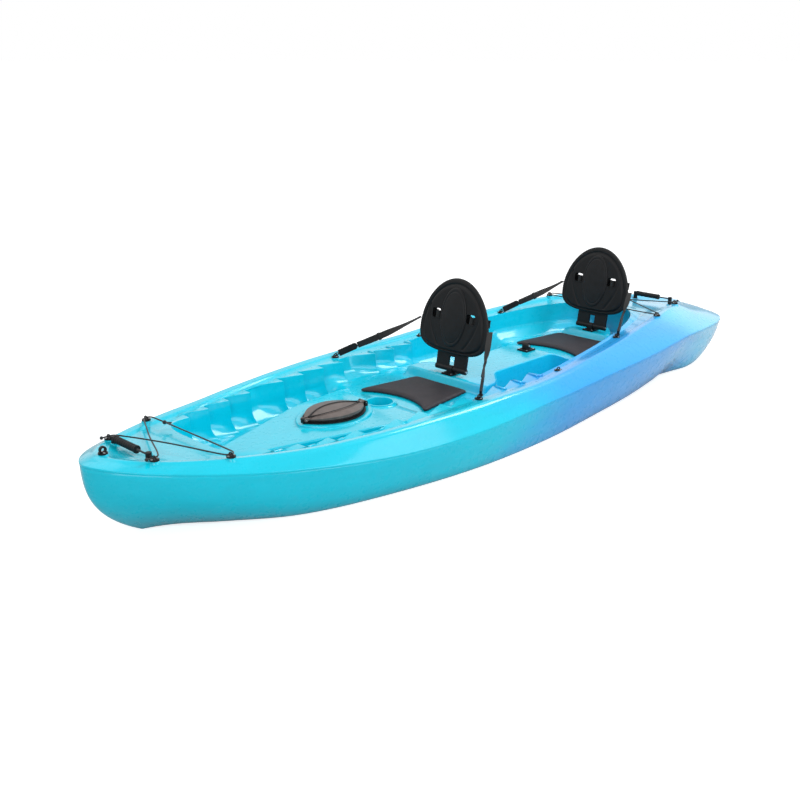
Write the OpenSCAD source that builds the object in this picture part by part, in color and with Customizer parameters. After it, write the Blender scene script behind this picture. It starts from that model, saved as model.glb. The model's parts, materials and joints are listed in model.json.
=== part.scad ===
// Tandem sit-on-top kayak: a moulded hull and deck, two fold-down backrests on straps, a storage
// hatch, shock-corded decks and carry grips. Millimetres, +X to the bow, +Y to port, +Z up,
// origin under the middle of the hull on the surface that it stands on.

/* [Hull] */
// Overall length from bow to stern
hull_length = 3200; // [3000:10:3600]
// Overall beam, measured at the parting line
hull_beam = 914; // [840:2:1000]
// Height of the deck's crest amidships
crest_height = 232; // [215:1:260]
// Height of the parting line amidships
parting_height = 172; // [160:1:185]
// Wall of the two moulded shells
shell_wall = 5; // [3:0.5:6]
// How far the forefoot lies behind the bow
stem_rake = 165; // [120:5:220]
// How far the heel lies before the stern
stern_rake = 120; // [80:5:180]
// Width of the crest along the boat's sides
crest_inset = 47; // [40:1:55]

/* [Cockpit] */
// Foredeck, from the bow to the cockpit
foredeck_length = 365; // [330:5:400]
// Afterdeck, from the cockpit to the stern
afterdeck_length = 610; // [600:5:640]
// Width of the cockpit between the roots of its foot-brace teeth
cockpit_width = 680; // [640:2:700]
// Depth of one foot-brace tooth
tooth_depth = 45; // [20:1:60]
// Distance from one foot-brace tooth to the next
tooth_pitch = 100; // [80:1:105]
// Height of the seat platforms
seat_height = 145; // [135:1:150]
// Height of the footwell floors
footwell_height = 95; // [80:1:110]
// Height of the raised middle that carries a backrest
mount_height = 180; // [170:1:190]

/* [Seats] */
// Hinge of the front backrest, forward of amidships
front_hinge_x = 80; // [70:1:95]
// Distance from the front backrest to the rear one
seat_spacing = 920; // [900:1:930]
// Width of a backrest
back_width = 336; // [300:2:360]
// Height of a backrest's own panel
back_height = 284; // [250:2:300]
// Thickness of a backrest at its rim
back_rim = 18; // [12:1:24]
// Hinge pin of a backrest
hinge_pin_d = 8; // [6:0.5:10]
// Thickness of a seat pad
pad_thick = 12; // [8:1:14]
// Length of a seat pad
pad_length = 270; // [240:5:285]
// Width of a seat pad at its front
pad_width = 340; // [300:5:360]
// Width of the strap webbing
strap_width = 25; // [20:1:30]
// Thickness of the strap webbing
strap_thick = 2; // [1.5:0.5:3]

/* [Hatch and cup holder] */
// Middle of the hatch, forward of amidships
hatch_x = 672; // [660:1:684]
// Length of the hatch lid
hatch_length = 255; // [230:1:260]
// Width of the hatch lid
hatch_width = 160; // [140:1:170]
// Rise of the lid's crown
hatch_crown = 14; // [8:1:20]
// Middle of the cup holder, forward of amidships
cup_x = 457; // [452:1:460]
// Bore of the cup holder
cup_d = 92; // [84:1:96]
// Depth of the cup holder
cup_depth = 62; // [50:1:70]

/* [Deck fittings] */
// Outer pair of bow pad eyes, behind the bow
bow_eye_1 = 154; // [146:1:170]
// Inner pair of bow pad eyes, behind the bow
bow_eye_2 = 340; // [320:1:350]
// Inner pair of stern pad eyes, before the stern
stern_eye_1 = 692; // [680:1:720]
// Outer pair of stern pad eyes, before the stern
stern_eye_2 = 400; // [380:1:420]
// Diameter of the shock cord
cord_d = 5; // [4:0.5:6]
// Diameter of the carry rope
rope_d = 6; // [5:0.5:7]
// Outer diameter of a carry grip
grip_d = 24; // [20:1:28]
// Length of a carry grip
grip_length = 115; // [100:1:130]
// Hole through the bow's tow eye
tow_hole_d = 12; // [10:0.5:14]

/* [Hidden] */
$fn = 48;

half = hull_length / 2;
half_beam = hull_beam / 2;
cockpit_fore = half - foredeck_length;
cockpit_aft = -half + afterdeck_length;
rear_hinge_x = front_hinge_x - seat_spacing;
mid_hinge_x = (front_hinge_x + rear_hinge_x) / 2;
black = [0.11, 0.11, 0.12];
steel = [0.75, 0.76, 0.78];

// Heights along the boat as [share of the half length, rise over the height amidships].
parting_rise = [[-1, -14], [-0.9, -2], [-0.8, 10], [-0.6, 34], [-0.4, 24], [-0.19, 14], [0, 0],
    [0.4, -22], [0.69, 8], [0.9, 50], [1, 73]];
crest_rise = [[-1, -46], [-0.875, -8], [-0.75, 36], [-0.54, 45], [-0.23, 22], [0, 0], [0.2, 0],
    [0.6, -9], [0.7, -4], [0.9, 18], [1, 41]];
// Half width of the flat bottom as [share of the half length, share of the half beam].
bottom_plan = [[-1, 0.36], [-0.92, 0.56], [-0.82, 0.63], [-0.73, 0.64], [-0.66, 0.59], [-0.58, 0.55],
    [-0.5, 0.62], [-0.38, 0.71], [-0.24, 0.78], [0, 0.87], [0.25, 0.86], [0.5, 0.72], [0.66, 0.55],
    [0.77, 0.29], [0.84, 0.1], [0.9, 0.02], [1, 0.01]];

// A smooth curve through a table of [place, value] rows.
function row_of(t, x, i = 0) = i >= len(t) - 2 || x <= t[i + 1][0] ? i : row_of(t, x, i + 1);
function slope_at(t, i) =
    let (a = max(0, i - 1), b = min(len(t) - 1, i + 1))
    (t[b][1] - t[a][1]) / (t[b][0] - t[a][0]);
function curve(t, x) =
    let (i = row_of(t, x), h = t[i + 1][0] - t[i][0], s = max(0, min(1, (x - t[i][0]) / h)))
    let (s2 = s * s, s3 = s2 * s)
    (2 * s3 - 3 * s2 + 1) * t[i][1] + (s3 - 2 * s2 + s) * h * slope_at(t, i)
    + (3 * s2 - 2 * s3) * t[i + 1][1] + (s3 - s2) * h * slope_at(t, i + 1);

// Half width of a plan with round ends: w at x = mid, nought at fore and at aft.
function plan(x, mid, fore, aft, w, ends) =
    x >= mid
    ? w * pow(max(0, 1 - pow((x - mid) / (fore - mid), ends[0])), ends[1])
    : w * pow(max(0, 1 - pow((mid - x) / (mid - aft), ends[2])), ends[3]);
function mix(a, b, t) = a + (b - a) * t;
function parting_z(x) = parting_height + curve(parting_rise, x / half);
function crest_z(x) = crest_height + curve(crest_rise, x / half);

// Places along the cockpit where the foot-brace teeth step out, in three groups.
tooth_starts = [cockpit_fore - 115, cockpit_fore - 575, cockpit_fore - 1045];
tooth_counts = [4, 4, 3];
teeth = [for (g = [0:2]) for (i = [0:tooth_counts[g] - 1]) tooth_starts[g] - i * tooth_pitch];
tooth_step = 2;
// Share of the tooth depth at a place: it grows from a root to the next step aft.
function tooth_share(x) =
    let (ahead = [for (t = teeth) if (t >= x) t], next = [for (t = teeth) if (t < x) t])
    len(next) == 0 ? 0
    : let (tip = max(next), root = len(ahead) == 0 ? tip + tooth_pitch : min(ahead))
      x > tip + tooth_pitch ? 0 : (min(root, tip + tooth_pitch) - x) / tooth_pitch;

// Lengths of a backrest's mounting flat, of the step down to the seat and of the seat itself.
mount_flat = 32;
mount_step = 16;
seat_run = 330;
seat_ramp = 60;

// Stations from the bow to the stern, as shares of a ring's own length.
floor_inset = 30;
cockpit_len = cockpit_fore - cockpit_aft;
end_shares = [0, 0.0008, 0.003, 0.008, 0.016, 0.028];
function share_of(x) = (cockpit_fore - x) / cockpit_len;
middle_inset = 24;
middle_fore = cockpit_fore - floor_inset - middle_inset;
middle_aft = cockpit_aft + floor_inset / 2 + middle_inset;
function middle_share(x) = (middle_fore - x) / (middle_fore - middle_aft);
inner_xs = [1170, 770, 700, 300, -100, -180, -260, -330, -500, -560, -620, -700];
break_xs = [for (h = [front_hinge_x, rear_hinge_x])
    each [h - 35, h + mount_flat, h + mount_flat + mount_step, h + seat_run, h + seat_run + seat_ramp]];
all_shares = concat(end_shares, [for (s = end_shares) 1 - s], [for (x = inner_xs) share_of(x)],
    [for (x = break_xs) middle_share(x)], [middle_share(mid_hinge_x - 40)],
    [for (t = teeth) for (d = [-tooth_step, tooth_step]) share_of(t + d)]);
function sorted(v) =
    len(v) < 2 ? v
    : let (p = v[floor(len(v) / 2)])
      concat(sorted([for (a = v) if (a < p) a]), [for (a = v) if (a == p) a],
        sorted([for (a = v) if (a > p) a]));
stations = sorted(all_shares);
last = len(stations) - 1;

// The rings of the deck, each a point at share u; grow widens a ring and drop lowers it.
parting_ends = [1.92, 0.6, 2.9, 0.35];
crest_ends = [1.95, 0.62, 1.9, 0.6];
rim_ends = [2.2, 0.25, 2, 0.4];
middle_ends = [12, 0.4, 12, 0.4];
wide_x = 0.14 * half;
crest_fore = half - 45;
crest_aft = -half + 100;
function along(u, fore, aft) = fore - u * (fore - aft);
function parting_ring(u, grow) =
    let (f = half + grow, a = -half - grow, x = along(u, f, a))
    [x, plan(x, wide_x, f, a, half_beam + grow, parting_ends), parting_z(x)];
function crest_ring(u, grow, drop) =
    let (f = crest_fore + grow, a = crest_aft - grow, x = along(u, f, a))
    [x, plan(x, wide_x, f, a, half_beam - crest_inset + grow, crest_ends), crest_z(x) - drop];
rim_drop = 8;
rim_edge = 5;
function rim_ring(u, grow, drop, bite) =
    let (f = cockpit_fore + grow, a = cockpit_aft - grow, x = along(u, f, a))
    let (w = plan(x, wide_x, f, a, cockpit_width / 2 + grow, rim_ends))
    let (at = along(u, cockpit_fore, cockpit_aft))
    let (cut = bite * max(rim_edge, tooth_depth * tooth_share(at)) * min(1, w / 200))
    [x, max(0, w - cut), crest_z(x) - rim_drop - drop];
function floor_width(x, grow) =
    plan(x, wide_x, cockpit_fore - floor_inset + grow, cockpit_aft + floor_inset / 2 - grow,
        cockpit_width / 2 - tooth_depth - 12 + grow, rim_ends);
footwell_gap = 25;
function floor_z(x) = lookup(x, [[rear_hinge_x + seat_run, seat_height],
    [rear_hinge_x + seat_run + seat_ramp, footwell_height], [front_hinge_x - 140, footwell_height],
    [front_hinge_x - 60, seat_height], [front_hinge_x + seat_run, seat_height],
    [front_hinge_x + seat_run + seat_ramp, footwell_height], [cockpit_fore - 320, footwell_height],
    [cockpit_fore, footwell_height + 30]]);
function middle_z(x) = lookup(x, [[rear_hinge_x + mount_flat, mount_height],
    [rear_hinge_x + mount_flat + mount_step, seat_height], [rear_hinge_x + seat_run + 20, seat_height],
    [mid_hinge_x - 40, mount_height], [front_hinge_x + mount_flat, mount_height],
    [front_hinge_x + mount_flat + mount_step, seat_height], [front_hinge_x + seat_run, seat_height],
    [cup_x, seat_height + 8], [hatch_x, seat_height + 18], [cockpit_fore - 120, seat_height + 8],
    [cockpit_fore, seat_height]]);
function middle_width(x) = lookup(x, [[rear_hinge_x, 160], [rear_hinge_x + seat_run, 200],
    [rear_hinge_x + seat_run + 100, 115], [front_hinge_x - 130, 115], [front_hinge_x - 40, 200],
    [front_hinge_x + seat_run, 240], [hatch_x + 60, 180], [cockpit_fore - 295, 115],
    [cockpit_fore - 115, 70], [cockpit_fore, 20]]);
function floor_ring(u, grow, drop) =
    let (x = along(u, cockpit_fore - floor_inset + grow, cockpit_aft + floor_inset / 2 - grow))
    [x, floor_width(x, grow), floor_z(x) - drop];
function middle_ring(u, grow, inset, z_share, drop) =
    let (f = middle_fore + middle_inset - inset + grow, a = middle_aft - middle_inset + inset - grow)
    let (x = along(u, f, a), w = min(middle_width(x), floor_width(x, 0) - footwell_gap))
    [x, max(0, w - inset / 2 + grow) * plan(x, wide_x, f, a, 1, middle_ends),
     mix(floor_z(x), middle_z(x), z_share) - drop];

deck_recess = 14;
rail_width = 28;
function deck_rings(u, t) =
    let (low = parting_ring(u, -t), top = crest_ring(u, 12 - t, 7 + t / 2))
    let (rail = crest_ring(u, -rail_width, 3 + t), rim = rim_ring(u, 0, t, 0))
    let (sunk = [0, 0, min(deck_recess, norm([rail[0] - rim[0], rail[1] - rim[1]]) / 8)])
    [low, mix(low, top, 0.5) + [0, 0, 4], top, crest_ring(u, 0, t), rail, mix(rail, rim, 0.2) - sunk,
     mix(rail, rim, 0.8) - sunk, rim_ring(u, 0.3 * t, t > 0 ? t + sunk[2] : 0, 1), floor_ring(u, t, t),
     middle_ring(u, -t, middle_inset / 3, 0, t), middle_ring(u, -t, middle_inset, 1, t)];

// The rings of the hull, from the parting line down to the flat bottom.
side_levels = [1, 0.8, 0.58, 0.36, 0.18, 0.07, 0.015, 0];
function bottom_ring(u, grow) =
    let (f = half - stem_rake + grow, a = -half + stern_rake - grow, x = along(u, f, a))
    let (end = plan(x, 0, f, a, 1, [12, 0.4, 12, 0.4]))
    [x, max(0, half_beam * curve(bottom_plan, x / half) + grow) * end, 0];
function hull_ring(u, t, h) =
    let (top = parting_ring(u, -t), low = bottom_ring(u, -t))
    [mix(low[0], top[0], 1 - pow(1 - h, 2.8)), mix(low[1], top[1], pow(h, 0.5)), mix(t, top[2], h)];
function hull_rings(u, t) = [for (h = side_levels) hull_ring(u, t, h)];

// A closed band from an outer and an inner stack of rings that run round the boat, and a flat plate.
function round_ring(list, k) = concat([for (i = [0:last]) list[i][k]],
    [for (i = [last - 1:-1:1]) [list[i][k][0], -list[i][k][1], list[i][k][2]]]);
function strip(a, b, n, flip) = [for (j = [0:n - 1])
    let (p = a + j, q = a + (j + 1) % n, r = b + (j + 1) % n, s = b + j)
    each flip ? [[p, q, r], [p, r, s]] : [[p, r, q], [p, s, r]]];
function lid_over(a, n, flip) = [for (i = [0:last - 1])
    let (p = a + i, q = a + i + 1, r = a + (n - i - 1) % n, s = a + (n - i) % n)
    each [for (t = flip ? [[p, q, r], [p, r, s]] : [[p, r, q], [p, s, r]])
        if (t[0] != t[1] && t[1] != t[2] && t[0] != t[2]) t]];
module side_band(outer, inner, rings) {
    n = 2 * last;
    points = concat([for (k = [0:rings - 1]) each round_ring(outer, k)],
        [for (k = [0:rings - 1]) each round_ring(inner, k)]);
    under = rings * n;
    low = (rings - 1) * n;
    faces = concat([for (k = [0:rings - 2]) each strip(k * n, (k + 1) * n, n, true)],
        [for (k = [0:rings - 2]) each strip(under + k * n, under + (k + 1) * n, n, false)],
        strip(0, under, n, false), strip(low, under + low, n, true));
    polyhedron(points = points, faces = faces, convexity = 8);
}
module plate(under, over) {
    n = 2 * last;
    polyhedron(points = concat(round_ring(under, 0), round_ring(over, 0)), convexity = 4,
        faces = concat(lid_over(0, n, true), lid_over(n, n, false), strip(0, n, n, false)));
}

// Flats on the deck that the fittings sit on, each [x, y, z].
eye_inset = 8;
eye_seat = 2.5;
function crest_share(x, grow) = (crest_fore + grow - x) / (crest_fore - crest_aft + 2 * grow);
function eye_place(x, side) =
    [x, side * crest_ring(crest_share(x, -eye_inset), -eye_inset, 0)[1], crest_z(x) + eye_seat];
bow_eyes = [for (x = [half - bow_eye_1, half - bow_eye_2]) for (s = [-1, 1]) eye_place(x, s)];
stern_eyes = [for (x = [-half + stern_eye_2, -half + stern_eye_1]) for (s = [-1, 1]) eye_place(x, s)];
strap_reach = 263.3;
anchor_drop = 14;
function anchor_place(x, side, drop) =
    let (rail = crest_ring(crest_share(x, -rail_width), -rail_width, 0), rim = rim_ring(share_of(x), 0, 0, 0))
    [x, side * (rail[1] + rim[1]) / 2, crest_z(x) - drop];
front_anchors = [for (s = [-1, 1]) anchor_place(front_hinge_x + strap_reach, s, anchor_drop - 8)];
mid_anchors = [for (s = [-1, 1]) anchor_place(mid_hinge_x + strap_reach, s, anchor_drop)];
rear_anchors = [for (s = [-1, 1]) anchor_place(rear_hinge_x + strap_reach, s, anchor_drop)];
anchors = concat(front_anchors, mid_anchors, rear_anchors);
rope_span = 184;
bow_rope_x = half - bow_eye_1;
stern_rope_x = -half + stern_eye_2 - 138.6;
function post_place(x, side, drop) = [x, side * rope_span / 2, crest_z(x) - drop];
bow_posts = [for (s = [-1, 1]) post_place(bow_rope_x, s, 1.4)];
stern_posts = [for (s = [-1, 1]) post_place(stern_rope_x, s, 11)];
tow_x = half - 66;
tow_seat = [tow_x, 0, crest_z(tow_x) + 1.8];
hatch_seat = middle_z(hatch_x) + 4;
cup_seat = middle_z(cup_x) + 5;

// Sizes of the small fittings.
clearance = 0.3;
running = 0.05;
flat_r = 14.37;
flat_h = 13.3;
eye_base_r = 14;
eye_base_h = 4;
eye_loop_r = 10;
eye_wire_d = 4;
screw_d = 4;
screw_gap = 0.1;
screw_bite = 9;
screw_head_d = 7;
screw_head_h = 1.5;
eye_screw = 9;
cord_rise = eye_base_h + 5;

module at_each(places) {
    for (p = places) translate(p) children();
}
module pad_eye() {
    difference() {
        union() {
            cylinder(r = eye_base_r, h = eye_base_h);
            translate([0, 0, eye_base_h - 0.5]) rotate([90, 0, 90]) rotate_extrude(angle = 180)
                translate([eye_loop_r, 0]) circle(d = eye_wire_d);
        }
        for (s = [-1, 1]) translate([s * eye_screw, 0, -1])
            cylinder(d = screw_d + 2 * screw_gap, h = eye_base_h + 2);
    }
}
module screw(under) {
    translate([0, 0, -under - screw_bite]) cylinder(d = screw_d, h = under + screw_bite);
    cylinder(d = screw_head_d, h = screw_head_h);
}
module eye_screws() {
    for (s = [-1, 1]) translate([s * eye_screw, 0, eye_base_h]) screw(eye_base_h);
}

// A leaf with pointed ends: two arcs across a length and a width.
module leaf(length, width, h) {
    r = (length * length + width * width) / (4 * width);
    intersection() {
        translate([0, r - width / 2, 0]) cylinder(r = r, h = h, $fn = 96);
        translate([0, width / 2 - r, 0]) cylinder(r = r, h = h, $fn = 96);
    }
}

// A tube swept along a list of points.
function unit(v) = v / norm(v);
function tube_ring(p, d, r, n) =
    let (side = unit(cross(d, [0, 0, 1])), up = unit(cross(side, d)))
    [for (i = [0:n - 1]) p + r * (cos(360 * i / n) * side + sin(360 * i / n) * up)];
module tube(route, d, n) {
    m = len(route) - 1;
    points = [for (k = [0:m]) each tube_ring(route[k], route[min(m, k + 1)] -
        route[max(0, k - 1)], d / 2, n)];
    walls = [for (k = [0:m - 1]) for (i = [0:n - 1])
        let (a = k * n + i, b = k * n + (i + 1) % n, c = b + n, e = a + n)
        each [[a, b, c], [a, c, e]]];
    caps = [for (i = [1:n - 2]) each [[0, i + 1, i], [m * n, m * n + i, m * n + i + 1]]];
    polyhedron(points = points, faces = concat(walls, caps));
}
// The shock cord's route through four eyes: out of the first pair, across between the second pair.
function lead(e, dx, dy, dz = 0) = e + [dx, dy, cord_rise + dz];
function cord_route(e, s) = [lead(e[0], 24 * s, 0), lead(e[0], 12 * s, 0), lead(e[0], 0, 0),
    lead(e[0], -12 * s, 3), lead(e[0], -22 * s, 16), lead((e[0] + e[3]) / 2, 0, 0, 5),
    lead(e[3], 20 * s, -22), lead(e[3], 11 * s, -5), lead(e[3], 0, 0), lead(e[3], -9 * s, -2),
    lead(e[3], -15 * s, -12), lead(e[3], -16 * s, -24), lead(e[2], -16 * s, 24), lead(e[2], -15 * s, 12),
    lead(e[2], -9 * s, 2), lead(e[2], 0, 0), lead(e[2], 11 * s, 5), lead(e[2], 20 * s, 22),
    lead((e[2] + e[1]) / 2, 0, 0, -4), lead(e[1], -22 * s, -16), lead(e[1], -12 * s, -3),
    lead(e[1], 0, 0), lead(e[1], 12 * s, 0), lead(e[1], 24 * s, 0)];
bow_route = cord_route(bow_eyes, 1);
stern_route = cord_route(stern_eyes, -1);

// The hull is one moulding too, drawn as its sides and its flat bottom.
hair = 0.14;
module hull_shell() {
    color([0.0, 0.68, 0.82]) {
        side_band([for (u = stations) hull_rings(u, 0)], [for (u = stations) hull_rings(u, shell_wall)],
            len(side_levels));
        plate([for (u = stations) [bottom_ring(u, -hair)]],
            [for (u = stations) [bottom_ring(u, -hair - shell_wall) + [0, 0, shell_wall]]]);
    }
}

hatch_land = 30;
hatch_lip = 10;
cup_wall = 4;
cup_lip = 4;
cup_flange = 3;
cup_top = cup_seat + cup_flange;
// The deck is one moulding on the boat. Here it is drawn in lengths that meet with a hair's gap, each of
// them simple enough to keep the seat wells, foot wells and hatch open.
deck_out = [for (u = stations) deck_rings(u, 0)];
deck_in = [for (u = stations) deck_rings(u, shell_wall)];
function flipped(p) = [p[0], -p[1], p[2]];
function column(list, j, first, end) =
    let (m = (j + 2 * last) % (2 * last), own = list[m <= last ? m : 2 * last - m])
    [for (k = [first:end]) m <= last ? own[k] : flipped(own[k])];
function across_at(list, i) = [list[i][9], list[i][10], flipped(list[i][10]), flipped(list[i][9])];
function nearer(a, b) = a + (b - a) * hair / max(norm(b - a), 1);
function aside(p, d) = p + [0, d * sign(p[1]) * min(1, abs(p[1]) / 50), 0];
function trimmed(c, d) = let (w = len(c)) [for (k = [0:w - 1])
    k == 0 ? aside(nearer(c[0], c[1]), -d) : k == w - 1 ? aside(nearer(c[k], c[k - 1]), d) : c[k]];
function trimmed_ends(list) = let (n = len(list)) [for (j = [0:n - 1]) [for (k = [0:len(list[j]) - 1])
    j == 0 ? nearer(list[0][k], list[1][k]) : j == n - 1 ? nearer(list[j][k], list[j - 1][k]) : list[j][k]]];
// The two triangles of a cell, cut along its shorter diagonal.
function falling(list, j, k) =
    norm(list[j][k] - list[j + 1][k + 1]) <= norm(list[j][k + 1] - list[j + 1][k]);
function cell(a, w, fall) = fall ? [[a, a + w + 1, a + w], [a, a + 1, a + w + 1]]
    : [[a, a + 1, a + w], [a + 1, a + w + 1, a + w]];
function turned(faces) = [for (f = faces) [f[0], f[2], f[1]]];
module sheet(outer_whole, inner_whole, capped = false, apart = 0) {
    n = len(outer_whole);
    w = len(outer_whole[0]);
    outer = trimmed_ends(capped ? outer_whole : [for (c = outer_whole) trimmed(c, apart)]);
    inner = trimmed_ends(capped ? inner_whole : [for (c = inner_whole) trimmed(c, apart)]);
    m = n * w;
    e = w - 1;
    f = (n - 1) * w;
    skin = [for (j = [0:n - 2]) for (k = [0:w - 2]) each cell(j * w + k, w, falling(outer, j, k))];
    lining = [for (j = [0:n - 2]) for (k = [0:w - 2]) each cell(m + j * w + k, w, falling(outer, j, k))];
    sides = [for (j = [0:n - 2]) j * w];
    ends = [for (k = [0:w - 2]) k];
    first = [for (a = sides) each [[a + w, m + a, a], [a + w, m + a + w, m + a]]];
    second = capped ? [[e, e + 2 * w, e + w], [m + e, m + e + w, m + e + 2 * w],
        [e, m + e, e + 2 * w], [e + 2 * w, m + e, m + e + 2 * w]]
        : [for (a = sides) each [[a + e, m + a + e, a + e + w], [a + e + w, m + a + e, m + a + e + w]]];
    fore = [for (a = ends) each [[a, m + a + 1, a + 1], [a, m + a, m + a + 1]]];
    aft = [for (a = ends) each [[f + a + 1, m + f + a + 1, f + a], [f + a, m + f + a + 1, m + f + a]]];
    polyhedron(points = concat([for (c = outer) each c], [for (c = inner) each c]), convexity = 8,
        faces = concat(skin, turned(lining), first, second, fore, aft));
}
module band(first, end, from, to, capped = false) {
    sheet([for (j = [from:to]) column(deck_out, j, first, end)],
        [for (j = [from:to]) column(deck_in, j, first, end)], capped, 2 * hair);
}
module both_bands(first, end, from, to) {
    band(first, end, from, to);
    mirror([0, 1, 0]) band(first, end, from, to);
}
module middle_band(from, to) {
    sheet([for (i = [from:to]) across_at(deck_out, i)], [for (i = [from:to]) across_at(deck_in, i)]);
}
module flats(places) {
    at_each(places) translate([0, 0, -flat_h]) cylinder(r = flat_r, h = flat_h);
}
bow_end = 8;
stern_end = last - 7;
lengths = [bow_end, 16, 24, 34, 40, 46, stern_end];
rail_flats = concat([bow_eyes[2], bow_eyes[3]], anchors, stern_eyes);
floor_lengths = [1, 21, 25, 34, 37, 41, 44, last - 1];
middle_lengths = [[1, 12], [25, 30], [30, 37], [37, 41], [41, last - 1]];
turquoise = [0.1, 0.78, 0.86];
module bow_deck() {
    color(turquoise) union() {
        band(0, 6, -bow_end, bow_end);
        flats([bow_eyes[0], bow_eyes[1], bow_posts[0], bow_posts[1], tow_seat]);
    }
}
module stern_deck() {
    color(turquoise) union() {
        band(0, 6, stern_end, 2 * last - stern_end);
        flats(stern_posts);
    }
}
module gunwales() {
    color(turquoise) {
        union() {
            band(0, 6, bow_end, stern_end);
            flats([for (p = rail_flats) if (p[1] > 0) p]);
        }
        union() {
            mirror([0, 1, 0]) band(0, 6, bow_end, stern_end);
            flats([for (p = rail_flats) if (p[1] < 0) p]);
        }
    }
}
module cockpit_walls() {
    color(turquoise) difference() {
        union() {
            band(6, 8, -3, 3);
            both_bands(6, 8, 3, bow_end);
            for (n = [0:len(lengths) - 2]) both_bands(6, 8, lengths[n], lengths[n + 1]);
            both_bands(6, 8, stern_end, last - 3);
            band(6, 8, last - 3, last + 3);
        }
        at_each(anchors) translate([0, 0, -2 * flat_h]) cylinder(r = flat_r + hair, h = 4 * flat_h);
    }
}
module cockpit_floor() {
    color(turquoise) {
        band(8, 10, -1, 1, true);
        for (n = [0:len(floor_lengths) - 2]) both_bands(8, 9, floor_lengths[n], floor_lengths[n + 1]);
        for (r = middle_lengths) middle_band(r[0], r[1]);
        band(8, 10, last - 1, last + 1, true);
    }
}
module console_deck() {
    color(turquoise) difference() {
        union() {
            middle_band(12, 25);
            translate([hatch_x, 0, hatch_seat - flat_h])
                leaf(hatch_length + 2 * hatch_land, hatch_width + 2 * hatch_land, flat_h);
            translate([cup_x, 0, cup_seat - flat_h])
                cylinder(d = cup_d + 2 * (cup_wall + cup_lip + 1), h = flat_h);
        }
        translate([hatch_x, 0, hatch_seat - 3 * flat_h])
            leaf(hatch_length - 2 * hatch_lip, hatch_width - 2 * hatch_lip, 4 * flat_h);
        translate([cup_x, 0, cup_seat - 3 * flat_h])
            cylinder(d = cup_d + 2 * (cup_wall + clearance), h = 4 * flat_h);
    }
}
module cup_well() {
    color([0.1, 0.6, 0.86]) translate([cup_x, 0, cup_top - cup_depth - cup_wall]) difference() {
        union() {
            cylinder(d = cup_d + 2 * cup_wall, h = cup_depth + cup_wall);
            translate([0, 0, cup_depth + cup_wall - cup_flange])
                cylinder(d = cup_d + 2 * (cup_wall + cup_lip), h = cup_flange);
        }
        translate([0, 0, cup_wall]) cylinder(d = cup_d, h = cup_depth + 1);
    }
}

// Storage hatch.
rim_flange = 4;
rim_width = 8;
collar_wall = 7;
collar_depth = 18;
gasket_h = 2.5;
lid_edge = 5;
lid_z = hatch_seat + rim_flange + gasket_h + 0.2;
hatch_pin_d = 4;
knuckle_r = 6;
knuckle_w = 20;
lug_w = 8;
lid_hinge = [hatch_x - hatch_length / 2 - 6, 0, lid_z + knuckle_r];
latch_hinge = [hatch_x + hatch_length / 2 + 6, 0, lid_z + knuckle_r];
module across(w) {
    rotate([90, 0, 0]) translate([0, 0, -w / 2]) children();
}
module leaf_band(outer_l, outer_w, wide, h) {
    difference() {
        leaf(outer_l, outer_w, h);
        translate([0, 0, -1]) leaf(outer_l - 2 * wide, outer_w - 2 * wide, h + 2);
    }
}
module hatch_rim() {
    collar_l = hatch_length - 2 * hatch_lip - 2 * clearance;
    collar_w = hatch_width - 2 * hatch_lip - 2 * clearance;
    color(black) difference() {
        union() {
            translate([hatch_x, 0, hatch_seat])
                leaf_band(hatch_length + 2 * rim_width, hatch_width + 2 * rim_width,
                    rim_width + hatch_lip + collar_wall, rim_flange);
            translate([hatch_x, 0, hatch_seat - collar_depth])
                leaf_band(collar_l, collar_w, collar_wall, collar_depth + 1);
            translate([lid_hinge[0] - knuckle_r, -knuckle_w / 2 - lug_w, hatch_seat])
                cube([3 * knuckle_r, knuckle_w + 2 * lug_w, rim_flange]);
            for (s = [-1, 1]) translate(lid_hinge + [0, s * (knuckle_w + lug_w + 2 * clearance) / 2, 0]) {
                across(lug_w - 2 * clearance) cylinder(r = knuckle_r, h = lug_w - 2 * clearance);
                translate([-knuckle_r, -lug_w / 2 + clearance, -knuckle_r - gasket_h - 1])
                    cube([2 * knuckle_r, lug_w - 2 * clearance, knuckle_r + gasket_h + 1]);
            }
        }
        translate(lid_hinge) across(2 * knuckle_w) cylinder(d = hatch_pin_d, h = 2 * knuckle_w);
    }
}
module hatch_gasket() {
    color([0.2, 0.2, 0.21]) translate([hatch_x, 0, hatch_seat + rim_flange])
        leaf_band(hatch_length - 8, hatch_width - 8, 9, gasket_h);
}
module hatch_hinge_pin() {
    pin_l = knuckle_w + 2 * lug_w - 1;
    color(steel) translate(lid_hinge) across(pin_l) cylinder(d = hatch_pin_d, h = pin_l);
}
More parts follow.
